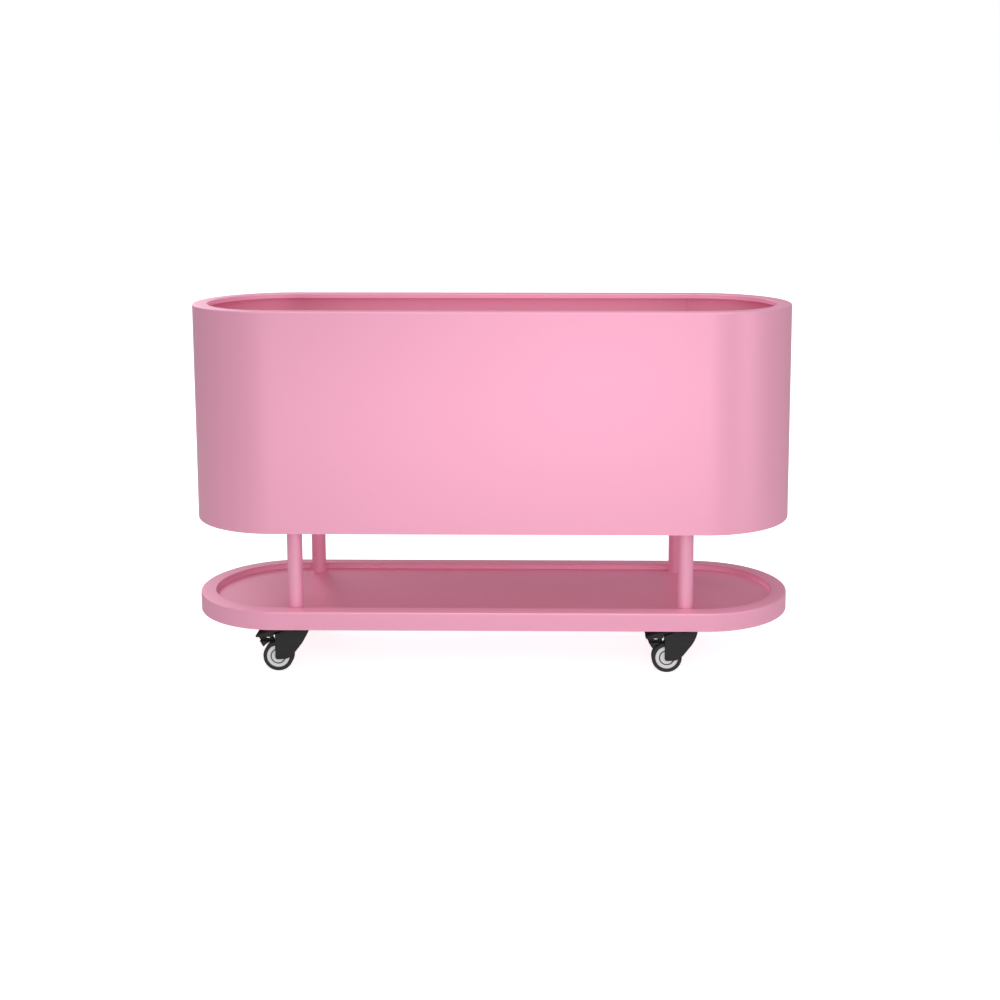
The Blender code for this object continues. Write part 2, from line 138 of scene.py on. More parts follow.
WHEEL_SIDE_CLEARANCE = 0.0015
WHEEL_POCKET_CLEARANCE = 0.0035
SHOE_CLEARANCE = 0.0004

MERGE = 2e-5
POST_STEPS = 64
BORE_STEPS = 48


# What a user would change


class SheetSettings(bpy.types.PropertyGroup):
    """How the tub's and the tray's sheet metal is folded."""

    rim_fold: FloatProperty(
        name="Rim fold", description="Outside radius of the fold from wall to rim",
        default=0.0026, unit="LENGTH",
    )
    lip_fold: FloatProperty(
        name="Lip fold", description="Outside radius of the fold from rim to lip",
        default=0.0018, unit="LENGTH",
    )
    pan_fold: FloatProperty(
        name="Pan fold", description="Inside radius between a floor and its turned-up edge",
        default=0.0022, unit="LENGTH",
    )
    flange: FloatProperty(
        name="Floor flange", description="Height of the tub floor's turned-up edge",
        default=0.012, unit="LENGTH",
    )
    cut_edge: FloatProperty(
        name="Cut edge", description="Rounding of the sheet's cut edges", default=0.0003, unit="LENGTH"
    )
    weld: FloatProperty(
        name="Weld leg", description="Leg of the weld beads round the posts", default=0.0022, unit="LENGTH"
    )
    end_steps: IntProperty(name="End steps", description="Facets of each quarter turn", default=40, min=8)


class CastorSettings(bpy.types.PropertyGroup):
    """Rounding and ribs of the castors' moulded parts."""

    edge: FloatProperty(
        name="Housing edge", description="Rounding of the housing's outer edges",
        default=0.0016, unit="LENGTH",
    )
    pedal_edge: FloatProperty(
        name="Pedal edge", description="Rounding of the pedal's edges", default=0.0007, unit="LENGTH"
    )
    web: FloatProperty(
        name="Pedal web", description="Thickness of the web under the pedal", default=0.0045, unit="LENGTH"
    )
    tread_ribs: IntProperty(name="Tread ribs", description="Ribs across the pedal's tip", default=5, min=1)
    rib_height: FloatProperty(
        name="Rib height", description="How far a tread rib stands up", default=0.0005, unit="LENGTH"
    )
    balls: IntProperty(name="Balls", description="Balls in each swivel bearing", default=16, min=3)
    turn_steps: IntProperty(name="Turn steps", description="Facets round a wheel", default=96, min=16)


class FinishSettings(bpy.types.PropertyGroup):
    """Colours and surface of the finishes."""

    coat: FloatVectorProperty(
        name="Powder coat", description="Colour of the powder coat", default=(0.90, 0.320, 0.472),
        subtype="COLOR", size=3, min=0, max=1,
    )
    nylon: FloatVectorProperty(
        name="Nylon", description="Colour of the housings and pedals", default=(0.0050, 0.0060, 0.0055),
        subtype="COLOR", size=3, min=0, max=1,
    )
    hub: FloatVectorProperty(
        name="Hub plastic", description="Colour of the wheel hubs", default=(0.92, 0.92, 0.92),
        subtype="COLOR", size=3, min=0, max=1,
    )
    rubber: FloatVectorProperty(
        name="Tyre rubber", description="Colour of the tyres", default=(0.010, 0.011, 0.011),
        subtype="COLOR", size=3, min=0, max=1,
    )
    peel_size: FloatProperty(
        name="Orange peel", description="Width of a ripple in the powder coat", default=0.0016, unit="LENGTH"
    )
    peel_depth: FloatProperty(
        name="Peel depth", description="Depth of the powder coat's ripples", default=0.00002, unit="LENGTH"
    )


class StageSettings(bpy.types.PropertyGroup):
    """Camera and studio light."""

    camera_place: FloatVectorProperty(
        name="Camera", description="Where the camera stands", default=(0.126, -2.40, 0.87), subtype="XYZ",
        size=3, unit="LENGTH",
    )
    pitch: FloatProperty(
        name="Pitch", description="How far the camera looks down", default=math.radians(7.54), subtype="ANGLE"
    )
    yaw: FloatProperty(
        name="Yaw", description="How far the camera turns to the left",
        default=math.radians(0.70), subtype="ANGLE",
    )
    lens: FloatProperty(name="Lens", description="Focal length in millimetres", default=51.9)
    shift_x: FloatProperty(name="Shift across", description="Lens shift to the right", default=-0.05)
    shift_y: FloatProperty(name="Shift up", description="Lens shift upwards", default=-0.17)


# Outlines


def rounded_outline(corners, steps=6):
    """A closed outline from (x, z, corner reach) rows: each corner turns smoothly within its reach."""
    outline = []
    for index, (x, z, reach) in enumerate(corners):
        corner = Vector((x, z))
        back = Vector(corners[index - 1][:2]) - corner
        ahead = Vector(corners[(index + 1) % len(corners)][:2]) - corner
        reach = min(reach, 0.49 * back.length, 0.49 * ahead.length)
        if reach < MERGE:
            outline.append(corner)
            continue
        start = corner + back.normalized() * reach
        end = corner + ahead.normalized() * reach
        for step in range(steps + 1):
            t = step / steps
            outline.append(start * (1 - t) ** 2 + corner * 2 * t * (1 - t) + end * t ** 2)
    return outline


def arc(centre, radius, start_deg, end_deg, steps):
    """Points along an arc, both ends included."""
    points = []
    for step in range(steps + 1):
        angle = math.radians(start_deg + (end_deg - start_deg) * step / steps)
        points.append(Vector((centre[0] + radius * math.cos(angle), centre[1] + radius * math.sin(angle))))
    return points


def folded_section(line, radii, thickness, cut_edge, steps=6):
    """A folded sheet's closed section, and for each point how much it belongs to a fold.

    The line is the sheet's outer face in (inset, height). The sheet lies to the right of it."""
    outer = []
    for index, point in enumerate(line):
        here = Vector(point)
        if index in (0, len(line) - 1):
            inward = (Vector(line[1]) if index == 0 else Vector(line[-2])) - here
            along = inward.normalized() if index == 0 else -inward.normalized()
            outer.append((here, Vector((along.y, -along.x)), 0.0))
            continue
        before = (here - Vector(line[index - 1])).normalized()
        after = (Vector(line[index + 1]) - here).normalized()
        radius = radii[index - 1]
        centre = here - before * radius + Vector((before.y, -before.x)) * radius
        for step in range(steps + 1):
            t = step / steps
            angle = before.angle_signed(after) * t
            normal = Vector((before.y, -before.x))
            normal.rotate(Matrix.Rotation(-angle, 2))
            outer.append((centre - normal * radius, normal, math.sin(math.pi * t)))
    inner = [(point + normal * thickness, fold) for point, normal, fold in reversed(outer)]
    loop = [(point, fold) for point, _, fold in outer] + inner
    points = []
    count = len(outer)
    for index, (point, fold) in enumerate(loop):
        if index in (0, count - 1, count, 2 * count - 1):
            back = (loop[index - 1][0] - point).normalized()
            ahead = (loop[(index + 1) % len(loop)][0] - point).normalized()
            # Cut edges count as whole folds, so the painted fold highlight lights them fully
            points.append((point + back * cut_edge, 1.0))
            points.append((point + ahead * cut_edge, 1.0))
        else:
            points.append((point, fold))
    return points


# Meshes


def clean_mesh(name, work):
    """A mesh from a bmesh, its doubles merged and its faces turned outwards."""
    bmesh.ops.remove_doubles(work, verts=work.verts, dist=MERGE)
    bmesh.ops.recalc_face_normals(work, faces=work.faces)
    mesh = bpy.data.meshes.new(name)
    work.to_mesh(mesh)
    work.free()
    return mesh


def new_object(name, mesh):
    obj = bpy.data.objects.new(name, mesh)
    bpy.context.scene.collection.objects.link(obj)
    return obj


def applied(obj, clean=True):
    """The object's mesh with its modifiers applied. The object is removed."""
    bpy.context.view_layer.update()
    graph = bpy.context.evaluated_depsgraph_get()
    mesh = bpy.data.meshes.new_from_object(obj.evaluated_get(graph))
    name = obj.name
    bpy.data.objects.remove(obj, do_unlink=True)
    if not clean:
        mesh.name = name
        return mesh
    materials = list(mesh.materials)
    work = bmesh.new()
    work.from_mesh(mesh)
    mesh = clean_mesh(name, work)
    for material in materials:
        mesh.materials.append(material)
    return mesh


def bridge(work, rings):
    """Faces between each closed ring of vertices and the next."""
    for ring, later in zip(rings, rings[1:]):
        for index in range(len(ring)):
            after = (index + 1) % len(ring)
            work.faces.new((ring[index], ring[after], later[after], later[index]))


def layered(name, outlines):
    """A closed mesh through (outline in x and z, y) layers."""
    work = bmesh.new()
    rings = []
    for outline, across in outlines:
        rings.append([work.verts.new((point.x, across, point.y)) for point in outline])
    bridge(work, rings)
    work.faces.new(rings[0])
    work.faces.new(rings[-1])
    return clean_mesh(name, work)


def slab(name, outline, half_width):
    """A prism whose outline is in x and z, centred on y = 0."""
    work = bmesh.new()
    front = [work.verts.new((point.x, -half_width, point.y)) for point in outline]
    back = [work.verts.new((point.x, half_width, point.y)) for point in outline]
    work.faces.new(front)
    work.faces.new(list(reversed(back)))
    for index in range(len(outline)):
        after = (index + 1) % len(outline)
        work.faces.new((front[after], front[index], back[index], back[after]))
    return clean_mesh(name, work)


def moulded(name, outline, half_width, radius, steps=4):
    """A slab with rounded long edges: towards each face, its outline draws in a little more."""
    spaced = [point for index, point in enumerate(outline) if (point - outline[index - 1]).length > MERGE]
    count = len(spaced)
    area = sum(spaced[index - 1].cross(spaced[index]) for index in range(count))
    side = math.copysign(1, area)
    draws = []
    for index, point in enumerate(spaced):
        back = (point - spaced[index - 1]).normalized()
        ahead = (spaced[(index + 1) % count] - point).normalized()
        inward = Vector((-back.y - ahead.y, back.x + ahead.x)) * side
        draws.append(inward / max(0.5, 1 + back.dot(ahead)))
    layers = []
    for step in range(steps + 1):
        angle = math.pi / 2 * step / steps
        layers.append((radius * (1 - math.cos(angle)), half_width - radius * (1 - math.sin(angle))))
    layers = [(draw, -across) for draw, across in reversed(layers)] + layers
    return layered(name, [
        ([point + inward * draw for point, inward in zip(spaced, draws)], across) for draw, across in layers
    ])


def turned(name, profile, steps):
    """A profile of (radius, height) points turned about Z. A closed profile repeats its first point."""
    work = bmesh.new()
    rings = []
    for step in range(steps):
        angle = 2 * math.pi * step / steps
        across = Vector((math.cos(angle), math.sin(angle), 0))
        rings.append([work.verts.new(across * radius + Vector((0, 0, height))) for radius, height in profile])
    for step in range(steps):
        ring, after = rings[step], rings[(step + 1) % steps]
        for index in range(len(profile) - 1):
            work.faces.new((ring[index], after[index], after[index + 1], ring[index + 1]))
    bmesh.ops.dissolve_degenerate(work, edges=work.edges, dist=MERGE)
    return clean_mesh(name, work)


def lay_along_y(mesh, at):
    """Lays a mesh turned about Z along Y instead, through the given point."""
    mesh.transform(Matrix.Translation(at) @ Matrix.Rotation(math.pi / 2, 4, "X"))
    return mesh


def combined(mesh, others):
    """Cuts or joins the (operation, mesh) pairs."""
    obj = new_object(mesh.name, mesh)
    helpers = []
    for index, (operation, other) in enumerate(others):
        helper = new_object(f"{mesh.name}_{index}", other)
        modifier = obj.modifiers.new(operation.lower(), "BOOLEAN")
        modifier.operation = operation
        modifier.solver = "EXACT"
        modifier.object = helper
        helpers.append(helper)
    result = applied(obj)
    for helper in helpers:
        bpy.data.objects.remove(helper, do_unlink=True)
    return result


def shaded(mesh, angle=35):
    """Smooth shading that leaves edges over the angle sharp and flat faces flat."""
    mesh.shade_smooth()
    mesh.set_sharp_from_angle(angle=math.radians(angle))
    obj = new_object(mesh.name, mesh)
    weighted = obj.modifiers.new("flat faces", "WEIGHTED_NORMAL")
    weighted.keep_sharp = True
    return applied(obj, clean=False)


def box_mesh(name, low, high):
    work = bmesh.new()
    bmesh.ops.create_cube(work, size=1)
    bmesh.ops.scale(work, verts=work.verts, vec=Vector(high) - Vector(low))
    bmesh.ops.translate(work, verts=work.verts, vec=(Vector(low) + Vector(high)) / 2)
    return clean_mesh(name, work)


def finish_piece(name, mesh, slot, body, replaces=()):
    """Makes a mesh one of the cart's pieces, with the slot's finish, moving with a body."""
    mesh.name = name
    mesh.materials.clear()
    mesh.materials.append(finish(slot))
    obj = new_object(name, mesh)
    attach(obj, body)
    if replaces:
        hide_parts(*replaces)
    return obj


def at_each_corner(name, mesh, slot, body, replaced=()):
    """A copy of a piece at each corner, on that corner's body and in place of that corner's nodes."""
    for corner in CORNERS:
        copy = mesh.copy()
        copy.transform(Matrix.Translation(POST_AT[corner]))
        nodes = [f"{node}_{corner}" for node in replaced]
        finish_piece(f"{name}_{corner}", copy, slot, body.format(corner=corner), nodes)


# Geometry Nodes


def set_inputs(node, values):
    """Sets a node's sockets from values keyed by their names with spaces as underscores."""
    for title, value in values.items():
        node.inputs[title.replace("_", " ")].default_value = value
    return node


def new_geometry_tree(name, inputs):
    """A tree with the named inputs, and its group input and output nodes."""
    tree = bpy.data.node_groups.new(name, "GeometryNodeTree")
    for title, kind in inputs:
        tree.interface.new_socket(title, in_out="INPUT", socket_type=kind)
    tree.interface.new_socket("Geometry", in_out="OUTPUT", socket_type="NodeSocketGeometry")
    source = tree.nodes.new("NodeGroupInput")
    sink = tree.nodes.new("NodeGroupOutput")
    return tree, source, sink


def end_tree(tree, source, sink, geometry):
    """Realizes the instances, sets the material and ends the tree."""
    realize = tree.nodes.new("GeometryNodeRealizeInstances")
    paint = tree.nodes.new("GeometryNodeSetMaterial")
    tree.links.new(geometry, realize.inputs["Geometry"])
    tree.links.new(realize.outputs["Geometry"], paint.inputs["Geometry"])
    tree.links.new(source.outputs["Material"], paint.inputs["Material"])
    tree.links.new(paint.outputs["Geometry"], sink.inputs["Geometry"])
    return tree


def rolled_sheet_tree():
    """A folded section carried round a path of two straight sides and two half-round ends."""
    tree, source, sink = new_geometry_tree("rolled_sheet", [
        ("Section", "NodeSocketObject"),
        ("Length", "NodeSocketFloat"),
        ("Width", "NodeSocketFloat"),
        ("End Radius", "NodeSocketFloat"),
        ("End Steps", "NodeSocketInt"),
        ("Material", "NodeSocketMaterial"),
    ])
    new = tree.nodes.new
    link = tree.links.new
    rectangle = new("GeometryNodeCurvePrimitiveQuadrilateral")
    round_ends = new("GeometryNodeFilletCurve")
    round_ends.mode = "POLY"
    upright = new("GeometryNodeSetCurveNormal")
    upright.mode = "Z_UP"
    section = new("GeometryNodeObjectInfo")
    outline = new("GeometryNodeMeshToCurve")
    sheet = new("GeometryNodeCurveToMesh")
    link(source.outputs["Length"], rectangle.inputs["Width"])
    link(source.outputs["Width"], rectangle.inputs["Height"])
    link(rectangle.outputs["Curve"], round_ends.inputs["Curve"])
    link(source.outputs["End Radius"], round_ends.inputs["Radius"])
    link(source.outputs["End Steps"], round_ends.inputs["Count"])
    link(round_ends.outputs["Curve"], upright.inputs["Curve"])
    link(upright.outputs["Curve"], sheet.inputs["Curve"])
    link(source.outputs["Section"], section.inputs["Object"])
    link(section.outputs["Geometry"], outline.inputs["Mesh"])
    link(outline.outputs["Curve"], sheet.inputs["Profile Curve"])
    return end_tree(tree, source, sink, sheet.outputs["Mesh"])


def repeated_part_tree(name, primitive, inputs, mode=None, **constants):
    """A part repeated at a primitive's points. Each input is (name, type, the primitive's socket)."""
    kinds = [(title, kind) for title, kind, _ in inputs]
    tree, source, sink = new_geometry_tree(
        name, [("Part", "NodeSocketObject"), *kinds, ("Material", "NodeSocketMaterial")]
    )
    points = tree.nodes.new(primitive)
    if mode:
        points.mode = mode
    set_inputs(points, constants)
    for title, _, socket in inputs:
        tree.links.new(source.outputs[title], points.inputs[socket])
    part = tree.nodes.new("GeometryNodeObjectInfo")
    place = tree.nodes.new("GeometryNodeInstanceOnPoints")
    tree.links.new(source.outputs["Part"], part.inputs["Object"])
    tree.links.new(points.outputs["Mesh"], place.inputs["Points"])
    tree.links.new(part.outputs["Geometry"], place.inputs["Instance"])
    return end_tree(tree, source, sink, place.outputs["Instances"])


def corner_tree():
    """A part set at the corners of a rectangle."""
    return repeated_part_tree("set_at_corners", "GeometryNodeMeshGrid", [
        ("Length Between", "NodeSocketFloat", "Size X"),
        ("Width Between", "NodeSocketFloat", "Size Y"),
    ], Vertices_X=2, Vertices_Y=2)


def row_tree():
    """A part repeated in a straight row between two points."""
    return repeated_part_tree("row_of_parts", "GeometryNodeMeshLine", [
        ("First", "NodeSocketVector", "Start Location"),
        ("Last", "NodeSocketVector", "Offset"),
        ("Count", "NodeSocketInt", "Count"),
    ], mode="END_POINTS")


def ring_tree():
    """A part repeated round a circle."""
    return repeated_part_tree("ring_of_parts", "GeometryNodeMeshCircle", [
        ("Radius", "NodeSocketFloat", "Radius"),
        ("Count", "NodeSocketInt", "Vertices"),
    ])


def grown(name, tree, **values):
    """The mesh that a tree makes from the given inputs, keyed by their names with spaces as underscores."""
    carrier = new_object(name, bpy.data.meshes.new(name))
    modifier = carrier.modifiers.new(tree.name, "NODES")
    modifier.node_group = tree
    for socket in tree.interface.items_tree:
        key = socket.name.replace(" ", "_").lower()
        if socket.in_out == "INPUT" and key in values:
            modifier[socket.identifier] = values[key]
    return applied(carrier)


def with_part(name, tree, part_mesh, **values):
    """As grown, with a part that the tree repeats."""
    part = new_object(f"{name}_part", part_mesh)
    mesh = grown(name, tree, part=part, **values)
    bpy.data.objects.remove(part, do_unlink=True)
    return mesh


def under_each_post(name, part_mesh, slot, angle, nodes=()):
    """One piece of the cart's body: a part repeated on the axes of the four posts."""
    mesh = with_part(
        name, shared_group("set_at_corners", corner_tree), part_mesh,
        length_between=SPACING_X, width_between=SPACING_Y, material=finish(slot),
    )
    replaced = [f"{node}_{corner}" for node in nodes for corner in CORNERS]
    return finish_piece(name, shaded(mesh, angle), slot, "cart", replaced)


# Finishes

# Most of a noise texture's values lie in this range
NOISE_RANGE = (0.3, 0.7)


def new_shader_group(name, inputs, outputs):
    group = bpy.data.node_groups.new(name, "ShaderNodeTree")
    for title, value in inputs:
        socket = group.interface.new_socket(title, in_out="INPUT", socket_type="NodeSocketFloat")
        socket.default_value = value
    for title in outputs:
        group.interface.new_socket(title, in_out="OUTPUT", socket_type="NodeSocketFloat")
    return group, group.nodes.new("NodeGroupInput"), group.nodes.new("NodeGroupOutput")


def math_node(tree, operation, first, second=None):
    """A Math node fed with sockets or numbers. Returns its output."""
    node = tree.nodes.new("ShaderNodeMath")
    node.operation = operation
    for slot, value in zip(node.inputs, (first, second)):
        if isinstance(value, (int, float)):
            slot.default_value = value
        elif value is not None:
            tree.links.new(value, slot)
    return node.outputs[0]


def noise(tree, scale, detail=2.0, roughness=0.5):
    """Noise on the piece's own coordinates. The scale is a number or a socket."""
    place = tree.nodes.new("ShaderNodeTexCoord")
    node = set_inputs(tree.nodes.new("ShaderNodeTexNoise"), {"Detail": detail, "Roughness": roughness})
    tree.links.new(place.outputs["Object"], node.inputs["Vector"])
    if isinstance(scale, (int, float)):
        node.inputs["Scale"].default_value = scale
    else:
        tree.links.new(scale, node.inputs["Scale"])
    return node.outputs["Fac"]


def ranged(tree, value, low, high, bottom=0.0, top=1.0):
    """Maps a value from the range low to high onto the range bottom to top."""
    node = tree.nodes.new("ShaderNodeMapRange")
    set_inputs(node, {"From Min": low, "From Max": high, "To Min": bottom, "To Max": top})
    tree.links.new(value, node.inputs["Value"])
    return node.outputs["Result"]


def orange_peel_group():
    """The soft ripple that cured powder leaves, and the faint mottle that goes with it."""
    group, source, sink = new_shader_group("orange_peel", [("Ripple Size", 0.0016)], ["Height", "Mottle"])
    scale = math_node(group, "DIVIDE", 1.0, source.outputs["Ripple Size"])
    ripple = noise(group, scale, detail=1.0)
    fine = noise(group, math_node(group, "MULTIPLY", scale, 2.7), detail=2.0)
    height = math_node(group, "ADD", ripple, math_node(group, "MULTIPLY", fine, 0.35))
    group.links.new(height, sink.inputs["Height"])
    group.links.new(noise(group, 5.5, detail=3.0), sink.inputs["Mottle"])
    return group


def moulded_grain_group():
    """The fine spark-eroded grain of moulded plastic and rubber, and a slow change of shade."""
    group, source, sink = new_shader_group("moulded_grain", [("Grain Size", 0.0004)], ["Height", "Shade"])
    scale = math_node(group, "DIVIDE", 1.0, source.outputs["Grain Size"])
    group.links.new(noise(group, scale, detail=3.0, roughness=0.6), sink.inputs["Height"])
    group.links.new(noise(group, 90.0, detail=3.0), sink.inputs["Shade"])
    return group


def painted_highlight_group():
    """A painted highlight along the folds, where they would catch the light, broken up by noise."""
    group, source, sink = new_shader_group("edge_rub", [("Amount", 0.5)], ["Mask"])
    fold = group.nodes.new("ShaderNodeAttribute")
    fold.attribute_name = "fold"
    patches = ranged(group, noise(group, 60.0, detail=4.0, roughness=0.6), 0.35, 0.70, bottom=0.45)
    lit_folds = math_node(group, "MULTIPLY", fold.outputs["Fac"], patches)
    group.links.new(math_node(group, "MULTIPLY", lit_folds, source.outputs["Amount"]), sink.inputs["Mask"])
    return group


def dust_group():
    """A little dust on faces that look up."""
    group, source, sink = new_shader_group("settled_dust", [("Amount", 0.2)], ["Mask"])
    geometry = group.nodes.new("ShaderNodeNewGeometry")
    split = group.nodes.new("ShaderNodeSeparateXYZ")
    group.links.new(geometry.outputs["Normal"], split.inputs["Vector"])
    upward = ranged(group, split.outputs["Z"], 0.4, 1.0)
    patches = ranged(group, noise(group, 22.0, detail=5.0, roughness=0.65), 0.30, 0.75)
    mask = math_node(group, "MULTIPLY", upward, patches)
    group.links.new(math_node(group, "MULTIPLY", mask, source.outputs["Amount"]), sink.inputs["Mask"])
    return group


def shared_group(name, builder):
    """Builds a shared tree the first time it is asked for."""
    return bpy.data.node_groups.get(name) or builder()


def use_group(material, name, builder, **values):
    node = material.node_tree.nodes.new("ShaderNodeGroup")
    node.node_tree = shared_group(name, builder)
    return set_inputs(node, values)


def new_finish(name, **constants):
    """A material whose shader holds the given constants on its own sockets."""
    material = bpy.data.materials.new(name)
    material.use_nodes = True
    return material, set_inputs(material.node_tree.nodes["Principled BSDF"], constants)


def mixed_colour(material, factor, first, second):
    """A colour that goes from the first to the second with the factor. Each is a colour or a socket."""
    node = material.node_tree.nodes.new("ShaderNodeMix")
    node.data_type = "RGBA"
    material.node_tree.links.new(factor, node.inputs["Factor"])
    for slot, value in ((node.inputs[6], first), (node.inputs[7], second)):
        if isinstance(value, bpy.types.NodeSocket):
            material.node_tree.links.new(value, slot)
        else:
            slot.default_value = (*value, 1)
    return node.outputs[2]


def bumped(material, shader, height, distance):
    node = set_inputs(material.node_tree.nodes.new("ShaderNodeBump"), {"Distance": distance, "Strength": 1.0})
    material.node_tree.links.new(height, node.inputs["Height"])
    material.node_tree.links.new(node.outputs["Normal"], shader.inputs["Normal"])


def shade_of(colour, factor):
    return tuple(min(1.0, channel * factor) for channel in colour)


def pink_powder_coat():
    """Satin polyester powder over folded steel."""
    looks = bpy.context.scene.spa_finish
    material, shader = new_finish("pink_powder_coat", IOR=1.5, Specular_IOR_Level=0.6)
    link = material.node_tree.links.new
    peel = use_group(material, "orange_peel", orange_peel_group, Ripple_Size=looks.peel_size)
    # Painted highlight: the fold share lightens the coat along the folds and cut edges
    highlight_node = use_group(material, "edge_rub", painted_highlight_group, Amount=0.85)
    dust = use_group(material, "settled_dust", dust_group, Amount=0.05)
    dark, light = shade_of(looks.coat, 0.97), shade_of(looks.coat, 1.03)
    body = mixed_colour(material, peel.outputs["Mottle"], dark, light)
    # Pale pink where the folds are: a painted highlight on the folds
    highlighted_body = mixed_colour(material, highlight_node.outputs["Mask"], body, (0.97, 0.62, 0.72))
    dusty = mixed_colour(material, dust.outputs["Mask"], highlighted_body, (0.72, 0.66, 0.64))
    link(dusty, shader.inputs["Base Color"])
    roughness = ranged(material.node_tree, peel.outputs["Mottle"], *NOISE_RANGE, 0.46, 0.54)
    link(roughness, shader.inputs["Roughness"])
    bumped(material, shader, peel.outputs["Height"], looks.peel_depth)
    return material


def grained_finish(name, grain_size, shades, roughness, depth, rough_by="Shade", dust=0.0, **constants):
    """A moulded or plated surface, its shade and roughness wandering between two values each."""
    material, shader = new_finish(name, **constants)
    link = material.node_tree.links.new
    grain = use_group(material, "moulded_grain", moulded_grain_group, Grain_Size=grain_size)
    colour = mixed_colour(material, grain.outputs["Shade"], *shades)
    if dust:
        settled = use_group(material, "settled_dust", dust_group, Amount=dust)
        colour = mixed_colour(material, settled.outputs["Mask"], colour, (0.20, 0.19, 0.18))
    link(colour, shader.inputs["Base Color"])
    rough = ranged(material.node_tree, grain.outputs[rough_by], *NOISE_RANGE, *roughness)
    link(rough, shader.inputs["Roughness"])
    bumped(material, shader, grain.outputs["Height"], depth)
    return material


def black_nylon():
    """Glass-filled nylon from a grained mould."""
    colour = bpy.context.scene.spa_finish.nylon
    shades = shade_of(colour, 0.8), shade_of(colour, 1.25)
    return grained_finish("black_nylon", 0.00045, shades, (0.34, 0.46), 0.000012, dust=0.10, IOR=1.53)


def white_hub_plastic():
    """Glossy white plastic, a touch greyer where it has been handled."""
    colour = bpy.context.scene.spa_finish.hub
    shades = shade_of(colour, 0.95), shade_of(colour, 1.02)
    return grained_finish("white_hub_plastic", 0.0008, shades, (0.22, 0.34), 0.000004, IOR=1.49)


def tyre_rubber():
    """Soft grey-black rubber, scuffed a little paler by the floor."""
    colour = bpy.context.scene.spa_finish.rubber
    shades = shade_of(colour, 0.75), shade_of(colour, 1.5)
    return grained_finish("tyre_rubber", 0.0005, shades, (0.60, 0.80), 0.00003, rough_by="Height", IOR=1.45)


def zinc_steel():
    """Bright zinc plate with faint cloudy passivation."""
    shades = (0.52, 0.52, 0.50), (0.66, 0.66, 0.67)
    return grained_finish("zinc_steel", 0.0003, shades, (0.24, 0.40), 0.000004, Metallic=1.0)


FINISHES = {
    "pink_powder_coat": pink_powder_coat,
    "black_nylon": black_nylon,
    "white_hub_plastic": white_hub_plastic,
    "tyre_rubber": tyre_rubber,
    "zinc_steel": zinc_steel,
}


def finish(name):
    """A finish by its slot's name, made the first time it is asked for."""
    return bpy.data.materials.get(name) or FINISHES[name]()


# Tub and tray


def rolled_sheet(name, section):
    """A folded section, in (inset, height, fold) points, carried round the cart's plan."""
    steps = bpy.context.scene.spa_sheet.end_steps
    work = bmesh.new()
    # The fold share masks the powder coat's painted highlight
    fold = work.verts.layers.float.new("fold")
    ring = []
    for point, share in section:
        vertex = work.verts.new((-point.x, -point.y, 0))
        vertex[fold] = share
        ring.append(vertex)
    for index, vertex in enumerate(ring):
        work.edges.new((vertex, ring[(index + 1) % len(ring)]))
    guide_mesh = bpy.data.meshes.new(f"{name}_section")
    work.to_mesh(guide_mesh)
    work.free()
    guide = new_object(guide_mesh.name, guide_mesh)
    mesh = grown(
        name, shared_group("rolled_sheet", rolled_sheet_tree), section=guide, length=LENGTH, width=WIDTH,
        end_radius=WIDTH / 2 - MERGE, end_steps=steps, material=finish("pink_powder_coat"),
    )
    bpy.data.objects.remove(guide, do_unlink=True)
    return mesh


def skin_pan(name, edge_line, thickness):
    """A flat floor whose edge follows an open section, in (inset, height), all round the plan."""
    steps = bpy.context.scene.spa_sheet.end_steps
    work = bmesh.new()
    rings = []
    for inset, height in edge_line:
        ring = []
        for centre_x, start in ((LENGTH / 2 - WIDTH / 2, -90), (WIDTH / 2 - LENGTH / 2, 90)):
            for point in arc((centre_x, 0), WIDTH / 2 - inset, start, start + 180, 2 * steps):
                ring.append(work.verts.new((point.x, point.y, height)))
        rings.append(ring)
    bridge(work, rings)
    work.faces.new(rings[-1])
    bmesh.ops.recalc_face_normals(work, faces=work.faces)
    if work.faces[-1].normal.z < 0:
        bmesh.ops.reverse_faces(work, faces=work.faces)
    mesh = bpy.data.meshes.new(name)
    work.to_mesh(mesh)
    work.free()
    obj = new_object(name, mesh)
    wall = obj.modifiers.new("sheet", "SOLIDIFY")
    wall.thickness = thickness
    wall.offset = -1
    edges = obj.modifiers.new("cut edges", "BEVEL")
    edges.width = bpy.context.scene.spa_sheet.cut_edge
    edges.segments = 2
    edges.angle_limit = math.radians(60)
    return applied(obj)


class SPA_OT_tub(bpy.types.Operator):
    """Fold the tub's wall, rim and lip from one sheet"""

    bl_idname = "spa_cart.tub"
    bl_label = "Tub shell"

    def execute(self, context):
        sheet = context.scene.spa_sheet
        line = [(0, TUB_LOW), (0, RIM_TOP), (RIM_WIDTH, RIM_TOP), (RIM_WIDTH, LIP_LOW)]
        section = folded_section(line, [sheet.rim_fold, sheet.lip_fold], SHEET, sheet.cut_edge)
        replaced = ("tub_wall", "tub_rim_plate", "tub_rim_lip")
        shell = shaded(rolled_sheet("tub_shell", section))
        finish_piece("tub_shell", shell, "pink_powder_coat", "cart", replaced)
        return {"FINISHED"}


class SPA_OT_tub_floor(bpy.types.Operator):
    """Lay the tub's floor, with its edge turned up inside the wall"""

    bl_idname = "spa_cart.tub_floor"
    bl_label = "Tub floor"

    def execute(self, context):
        sheet = context.scene.spa_sheet
        inset = FLOOR_INSET + FLOOR_TOP - FLOOR_LOW
        turn = arc((inset + sheet.pan_fold, FLOOR_TOP + sheet.pan_fold), sheet.pan_fold, 180, 270, 6)
        mesh = skin_pan("tub_floor_pan", [(inset, FLOOR_TOP + sheet.flange), *turn], FLOOR_TOP - FLOOR_LOW)
        finish_piece("tub_floor_pan", shaded(mesh), "pink_powder_coat", "cart", ["tub_floor"])
        return {"FINISHED"}


